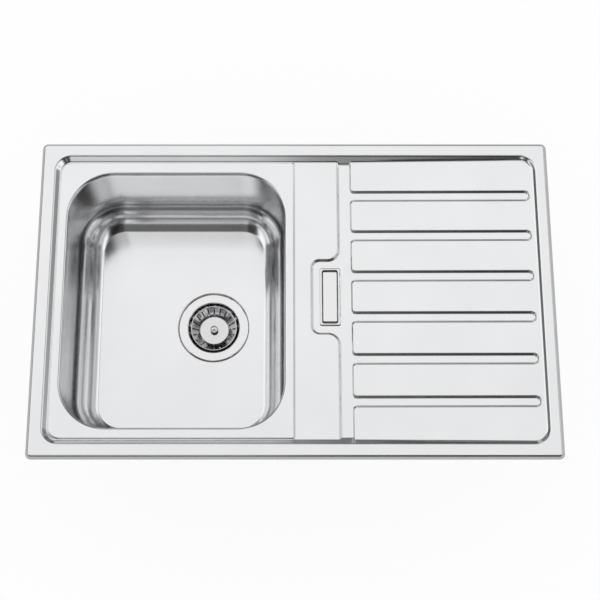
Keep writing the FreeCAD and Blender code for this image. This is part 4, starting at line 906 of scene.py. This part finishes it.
def new_material(name):
    material = bpy.data.materials.new(name)
    material.use_nodes = True
    return material, material.node_tree, material.node_tree.nodes["Principled BSDF"]


def vary(tree, shader, colour, variation, tint, roughness, spread, grain, bump, depth):
    """A colour that varies with the tint, and a roughness and relief that vary with the grain."""
    tones = [(*[min(1.0, c * share) for c in colour], 1) for share in (1 - variation, 1 + variation)]
    level = add_node(tree, "MapRange", {"Value": grain, "To Min": roughness - spread,
                                        "To Max": roughness + spread})
    relief = add_node(tree, "Bump", {"Height": grain, "Strength": bump, "Distance": depth})
    set_input(tree, shader.inputs["Base Color"], mix_colours(tree, tint, *tones))
    set_input(tree, shader.inputs["Roughness"], level.outputs["Result"])
    set_input(tree, shader.inputs["Normal"], relief.outputs["Normal"])


def steel(name, colour, roughness, spread, grain_scale, variation=0.04, bump=0.02):
    """Brushed steel. The grain's scale is its fineness along each axis."""
    material, tree, shader = new_material(name)
    shader.inputs["Metallic"].default_value = 1.0
    place = add_node(tree, "TexCoord", {}).outputs["Object"]
    stretch = add_node(tree, "Mapping", {"Vector": place, "Scale": grain_scale})
    grain = noise(tree, stretch.outputs["Vector"], 1.0, STEEL_GRAIN_DETAIL)
    tint = noise(tree, place, STEEL_TINT_SCALE, STEEL_TINT_DETAIL)
    vary(tree, shader, colour, variation, tint, roughness, spread, grain, bump, STEEL_RELIEF)
    return material


def moulded(name, colour, roughness, texture_scale, bump, variation=0.06):
    """Plastic, rubber or foam with a fine surface texture."""
    material, tree, shader = new_material(name)
    place = add_node(tree, "TexCoord", {}).outputs["Object"]
    grain = noise(tree, place, texture_scale, MOULDED_DETAIL)
    vary(tree, shader, colour, variation, grain, roughness, MOULDED_SPREAD, grain, bump, MOULDED_RELIEF)
    return material


STEEL_COLOUR = (0.875, 0.88, 0.89)
SATIN = steel("satin_steel", STEEL_COLOUR, 0.13, 0.025, (40, 2500, 2500))
BOWL_STEEL = steel("bowl_steel", STEEL_COLOUR, 0.16, 0.025, (60, 60, 1800))
SATIN_PLATE = steel("satin_plate", (0.88, 0.88, 0.89), 0.17, 0.03, (2500, 40, 2500))
POLISHED = steel("polished_steel", (0.86, 0.86, 0.87), 0.1, 0.02, (900, 900, 900))
# A darker copy of the polished steel for the strainer: painted shade for the dimmer light down in the
# drain.
STRAINER_PAINTED_SHADE = steel("strainer_steel_painted_shade", (0.77, 0.77, 0.78), 0.13, 0.02, (700, 700, 700))
# Near-black steel for the frame's screw bars: painted shade standing in for the shade deep under the
# frame.
BAR_PAINTED_SHADE = steel("bar_steel_painted_shade", (0.2, 0.2, 0.2), 0.4, 0.05, (700, 700, 700))
CHROME = steel("chrome", (0.93, 0.93, 0.94), 0.05, 0.01, (700, 700, 700), 0.01, 0.0)
ZINC = steel("zinc_steel", (0.62, 0.64, 0.66), 0.33, 0.06, (500, 500, 500), 0.12)
BRASS = steel("brass", (0.72, 0.53, 0.25), 0.25, 0.04, (900, 900, 900))
RUBBER = moulded("black_rubber", (0.03, 0.03, 0.032), 0.6, 900, 0.15)
FOAM = moulded("foam_seal", (0.05, 0.05, 0.055), 0.85, 1500, 0.5)
DAMPING = moulded("damping_sheet", (0.06, 0.06, 0.065), 0.75, 500, 0.4)
WHITE_PLASTIC = moulded("white_plastic", (0.82, 0.82, 0.8), 0.42, 700, 0.08, 0.02)
GREY_PLASTIC = moulded("grey_plastic", (0.45, 0.46, 0.47), 0.4, 700, 0.08, 0.03)

# The pieces that are modelled here
sheet_object("deck", deck_surface(), SATIN, "root", replaces=["sink_deck"], slot="satin_steel")
sheet_object("bowl", bowl_surface(), BOWL_STEEL, "root", replaces=["sink_bowl"], slot="bowl_steel")
solid_object("flange", flange_surface(), POLISHED, "root", replaces=["waste_flange"],
             slot="polished_steel")
sheet_object("strainer", basket_surface(), STRAINER_PAINTED_SHADE, "basket", replaces=["strainer_basket"],
             slot="polished_steel")
knob = solid_object("knob", knob_surface(), CHROME, "basket", replaces=["basket_knob"], slot="chrome")
# Painted shade: below this line the knob's ball and neck get black rubber, standing in for the shade
# under the ball.
use_below(knob, RUBBER, BOWL_FLOOR - KNOB_SHADE_LINE)
rim = solid_object("frame", frame_surface(), POLISHED, "root", replaces=["overflow_frame"],
                   slot="polished_steel")
# Painted shade: the screw bars low under the frame are near-black, standing in for the shade that falls
# there.
use_below(rim, BAR_PAINTED_SHADE, FRAME_LOW.z + BAR_THICKNESS + BAR_MARGIN)
solid_object("plate", plate_surface(), SATIN_PLATE, "root", replaces=["overflow_plate"],
             slot="satin_plate")

# The CAD pieces that are shown as they are
FINISHES = {
    POLISHED: ["overflow_screws", "waste_clamp_screw", "basket_stem"],
    ZINC: ["clamp_brackets", "clamp_screws"] + ["clamp_jaw_%d" % number for number in range(1, 9)],
    FOAM: ["rim_seal"],
    DAMPING: ["bowl_damping_pad", "drainer_damping_pads"],
    RUBBER: ["waste_top_gasket", "waste_lower_gasket", "overflow_gasket", "overflow_seals",
             "basket_seal"],
    WHITE_PLASTIC: ["waste_body", "overflow_housing", "overflow_nuts"],
    GREY_PLASTIC: ["overflow_pipe"],
    BRASS: ["waste_clamp_insert"],
}
for material, names in FINISHES.items():
    for name in names:
        for place in NODES[name].material_slots:
            place.material = material


# Floor, world and camera

FLOOR_REACH = 4.0
FLOOR_GAP = 1.0 * MM
FLOOR_COLOUR = (0.95, 0.95, 0.95, 1)
FLOOR_ROUGHNESS = 0.9
FLOOR_GLOW = 0.9
MIRRORED_FLOOR = (0.5, 0.5, 0.5, 1)

# Brightness of the studio as the steel mirrors it, by the direction's angle from straight up. ALONG is
# towards the drainer. The other two are towards the camera, in a narrow strip that the bowl's back
# mirrors and beside that strip. The two sides' levels are multiplied, but for directions far aside and
# high up, where ALONG's holds alone.
LARGEST_ANGLE = 120.0
ALONG = [(-100, 0.4), (-80, 0.4), (-76, 0.25), (-66, 0.25), (-63, 1.1), (-50, 1.08), (-20, 0.92),
         (15, 0.92), (21, 0.22), (40, 0.22), (43, 1.15), (52, 1.1), (55, 0.45), (63, 0.45), (66, 1.15),
         (76, 1.1), (90, 0.9), (100, 0.5)]
ACROSS_BOWL = [(-100, 0.5), (-75, 0.55), (-50, 0.7), (-30, 0.95), (-22, 1.04), (-8, 0.97), (-1, 0.93),
               (1, 0.1), (12, 0.1), (15, 1.02), (27, 1.02), (30, 0.15), (61, 0.15), (65, 0.78),
               (71, 0.78), (75, 0.08), (100, 0.08)]
ACROSS_REST = [(-100, 0.18), (-75, 0.22), (-50, 0.45), (-30, 0.95), (-22, 1.04), (-8, 0.97), (-1, 0.93),
               (1, 0.03), (14, 0.03), (17, 0.75), (26, 0.75), (29, 0.04), (64, 0.04), (67, 0.3),
               (71, 0.3), (74, 0.03), (100, 0.03)]
# Parts of a unit direction: the strip's middle and its soft edge, and where far aside and high up start
STRIP_MIDDLE = -0.125
STRIP_EDGE = (0.11, 0.14)
ASIDE_EDGE = (0.58, 0.72)
HIGH_EDGE = (0.2, 0.3)

LENS = 78.15
SENSOR_WIDTH = 36.0
SHIFT = 0.0239
CLIP = (0.05, 50.0)
CAMERA_PLACE = (-0.0138, -0.5834, 1.8882)
CAMERA_TILT = 17.0


def build_floor():
    """A white floor, darker where the steel mirrors it."""
    mesh = bpy.data.meshes.new("floor")
    corners = [(-1, -1), (1, -1), (1, 1), (-1, 1)]
    height = CAD_LOW.z - FLOOR_GAP
    points = [(x * FLOOR_REACH, y * FLOOR_REACH, height) for x, y in corners]
    mesh.from_pydata(points, [], [(0, 1, 2, 3)])
    floor = bpy.data.objects.new("floor", mesh)
    bpy.context.scene.collection.objects.link(floor)
    material, tree, shader = new_material("floor")
    shader.inputs["Base Color"].default_value = FLOOR_COLOUR
    shader.inputs["Roughness"].default_value = FLOOR_ROUGHNESS
    ray = add_node(tree, "LightPath", {})
    glow = add_node(tree, "Emission", {"Color": WHITE, "Strength": 1.0})
    mirrored = add_node(tree, "Emission", {"Color": MIRRORED_FLOOR, "Strength": 1.0})
    share = calculate(tree, "MULTIPLY", ray.outputs["Is Camera Ray"], FLOOR_GLOW)
    lit = mix_shaders(tree, share, shader.outputs["BSDF"], glow.outputs["Emission"])
    mix = mix_shaders(tree, ray.outputs["Is Glossy Ray"], lit, mirrored.outputs["Emission"])
    set_input(tree, tree.nodes["Material Output"].inputs["Surface"], mix)
    mesh.materials.append(material)


def angle_from_up(tree, side, up, sign):
    """The angle of a direction from straight up, towards one side, in degrees."""
    return calculate(tree, "MULTIPLY", calculate(tree, "ARCTAN2", side, up), math.degrees(sign))


def level_by_angle(tree, angle, stops):
    """A brightness that follows an angle, from stops of angle and brightness."""
    share = add_node(tree, "MapRange", {"Value": angle, "From Min": -LARGEST_ANGLE,
                                        "From Max": LARGEST_ANGLE})
    ramp = add_node(tree, "ValToRGB", {"Fac": share.outputs["Result"]})
    ramp.color_ramp.interpolation = "LINEAR"
    elements = ramp.color_ramp.elements
    while len(elements) < len(stops):
        elements.new(0.5)
    for element, (degrees, level) in zip(elements, stops):
        element.position = (degrees + LARGEST_ANGLE) / (2 * LARGEST_ANGLE)
        element.color = (level, level, level, 1)
    return ramp.outputs["Color"]


def build_world():
    """A white ceiling with dimmer bands beside it, as a studio tent is seen in steel."""
    world = bpy.data.worlds.new("studio")
    bpy.context.scene.world = world
    world.use_nodes = True
    tree = world.node_tree
    tree.nodes.clear()
    direction = add_node(tree, "TexCoord", {}).outputs["Generated"]
    split = add_node(tree, "SeparateXYZ", {"Vector": direction})
    x, y, z = (split.outputs[axis] for axis in "XYZ")

    from_strip = calculate(tree, "ABSOLUTE", calculate(tree, "ADD", x, -STRIP_MIDDLE))
    towards_camera = angle_from_up(tree, y, z, -1)
    across = mix_colours(tree, smooth_step(tree, from_strip, *STRIP_EDGE),
                         level_by_angle(tree, towards_camera, ACROSS_BOWL),
                         level_by_angle(tree, towards_camera, ACROSS_REST))
    far_aside = smooth_step(tree, calculate(tree, "ABSOLUTE", x), *ASIDE_EDGE)
    high_up = smooth_step(tree, z, *HIGH_EDGE)
    across = mix_colours(tree, calculate(tree, "MULTIPLY", far_aside, high_up), across, WHITE)
    along = level_by_angle(tree, angle_from_up(tree, x, z, 1), ALONG)
    level = mix_colours(tree, 1.0, along, across, "MULTIPLY")

    studio = add_node(tree, "Background", {"Color": level})
    plain = add_node(tree, "Background", {"Color": WHITE})
    ray = add_node(tree, "LightPath", {})
    mix = mix_shaders(tree, ray.outputs["Is Glossy Ray"], plain.outputs["Background"],
                      studio.outputs["Background"])
    add_node(tree, "OutputWorld", {"Surface": mix})


def build_camera():
    data = bpy.data.cameras.new("camera")
    data.lens = LENS
    data.sensor_width = SENSOR_WIDTH
    data.shift_x = SHIFT
    data.clip_start, data.clip_end = CLIP
    camera = bpy.data.objects.new("camera", data)
    camera.location = CAMERA_PLACE
    camera.rotation_euler = (math.radians(CAMERA_TILT), 0, 0)
    bpy.context.scene.collection.objects.link(camera)
    bpy.context.scene.camera = camera


build_floor()
build_world()
build_camera()
bpy.context.scene.view_settings.view_transform = "Standard"
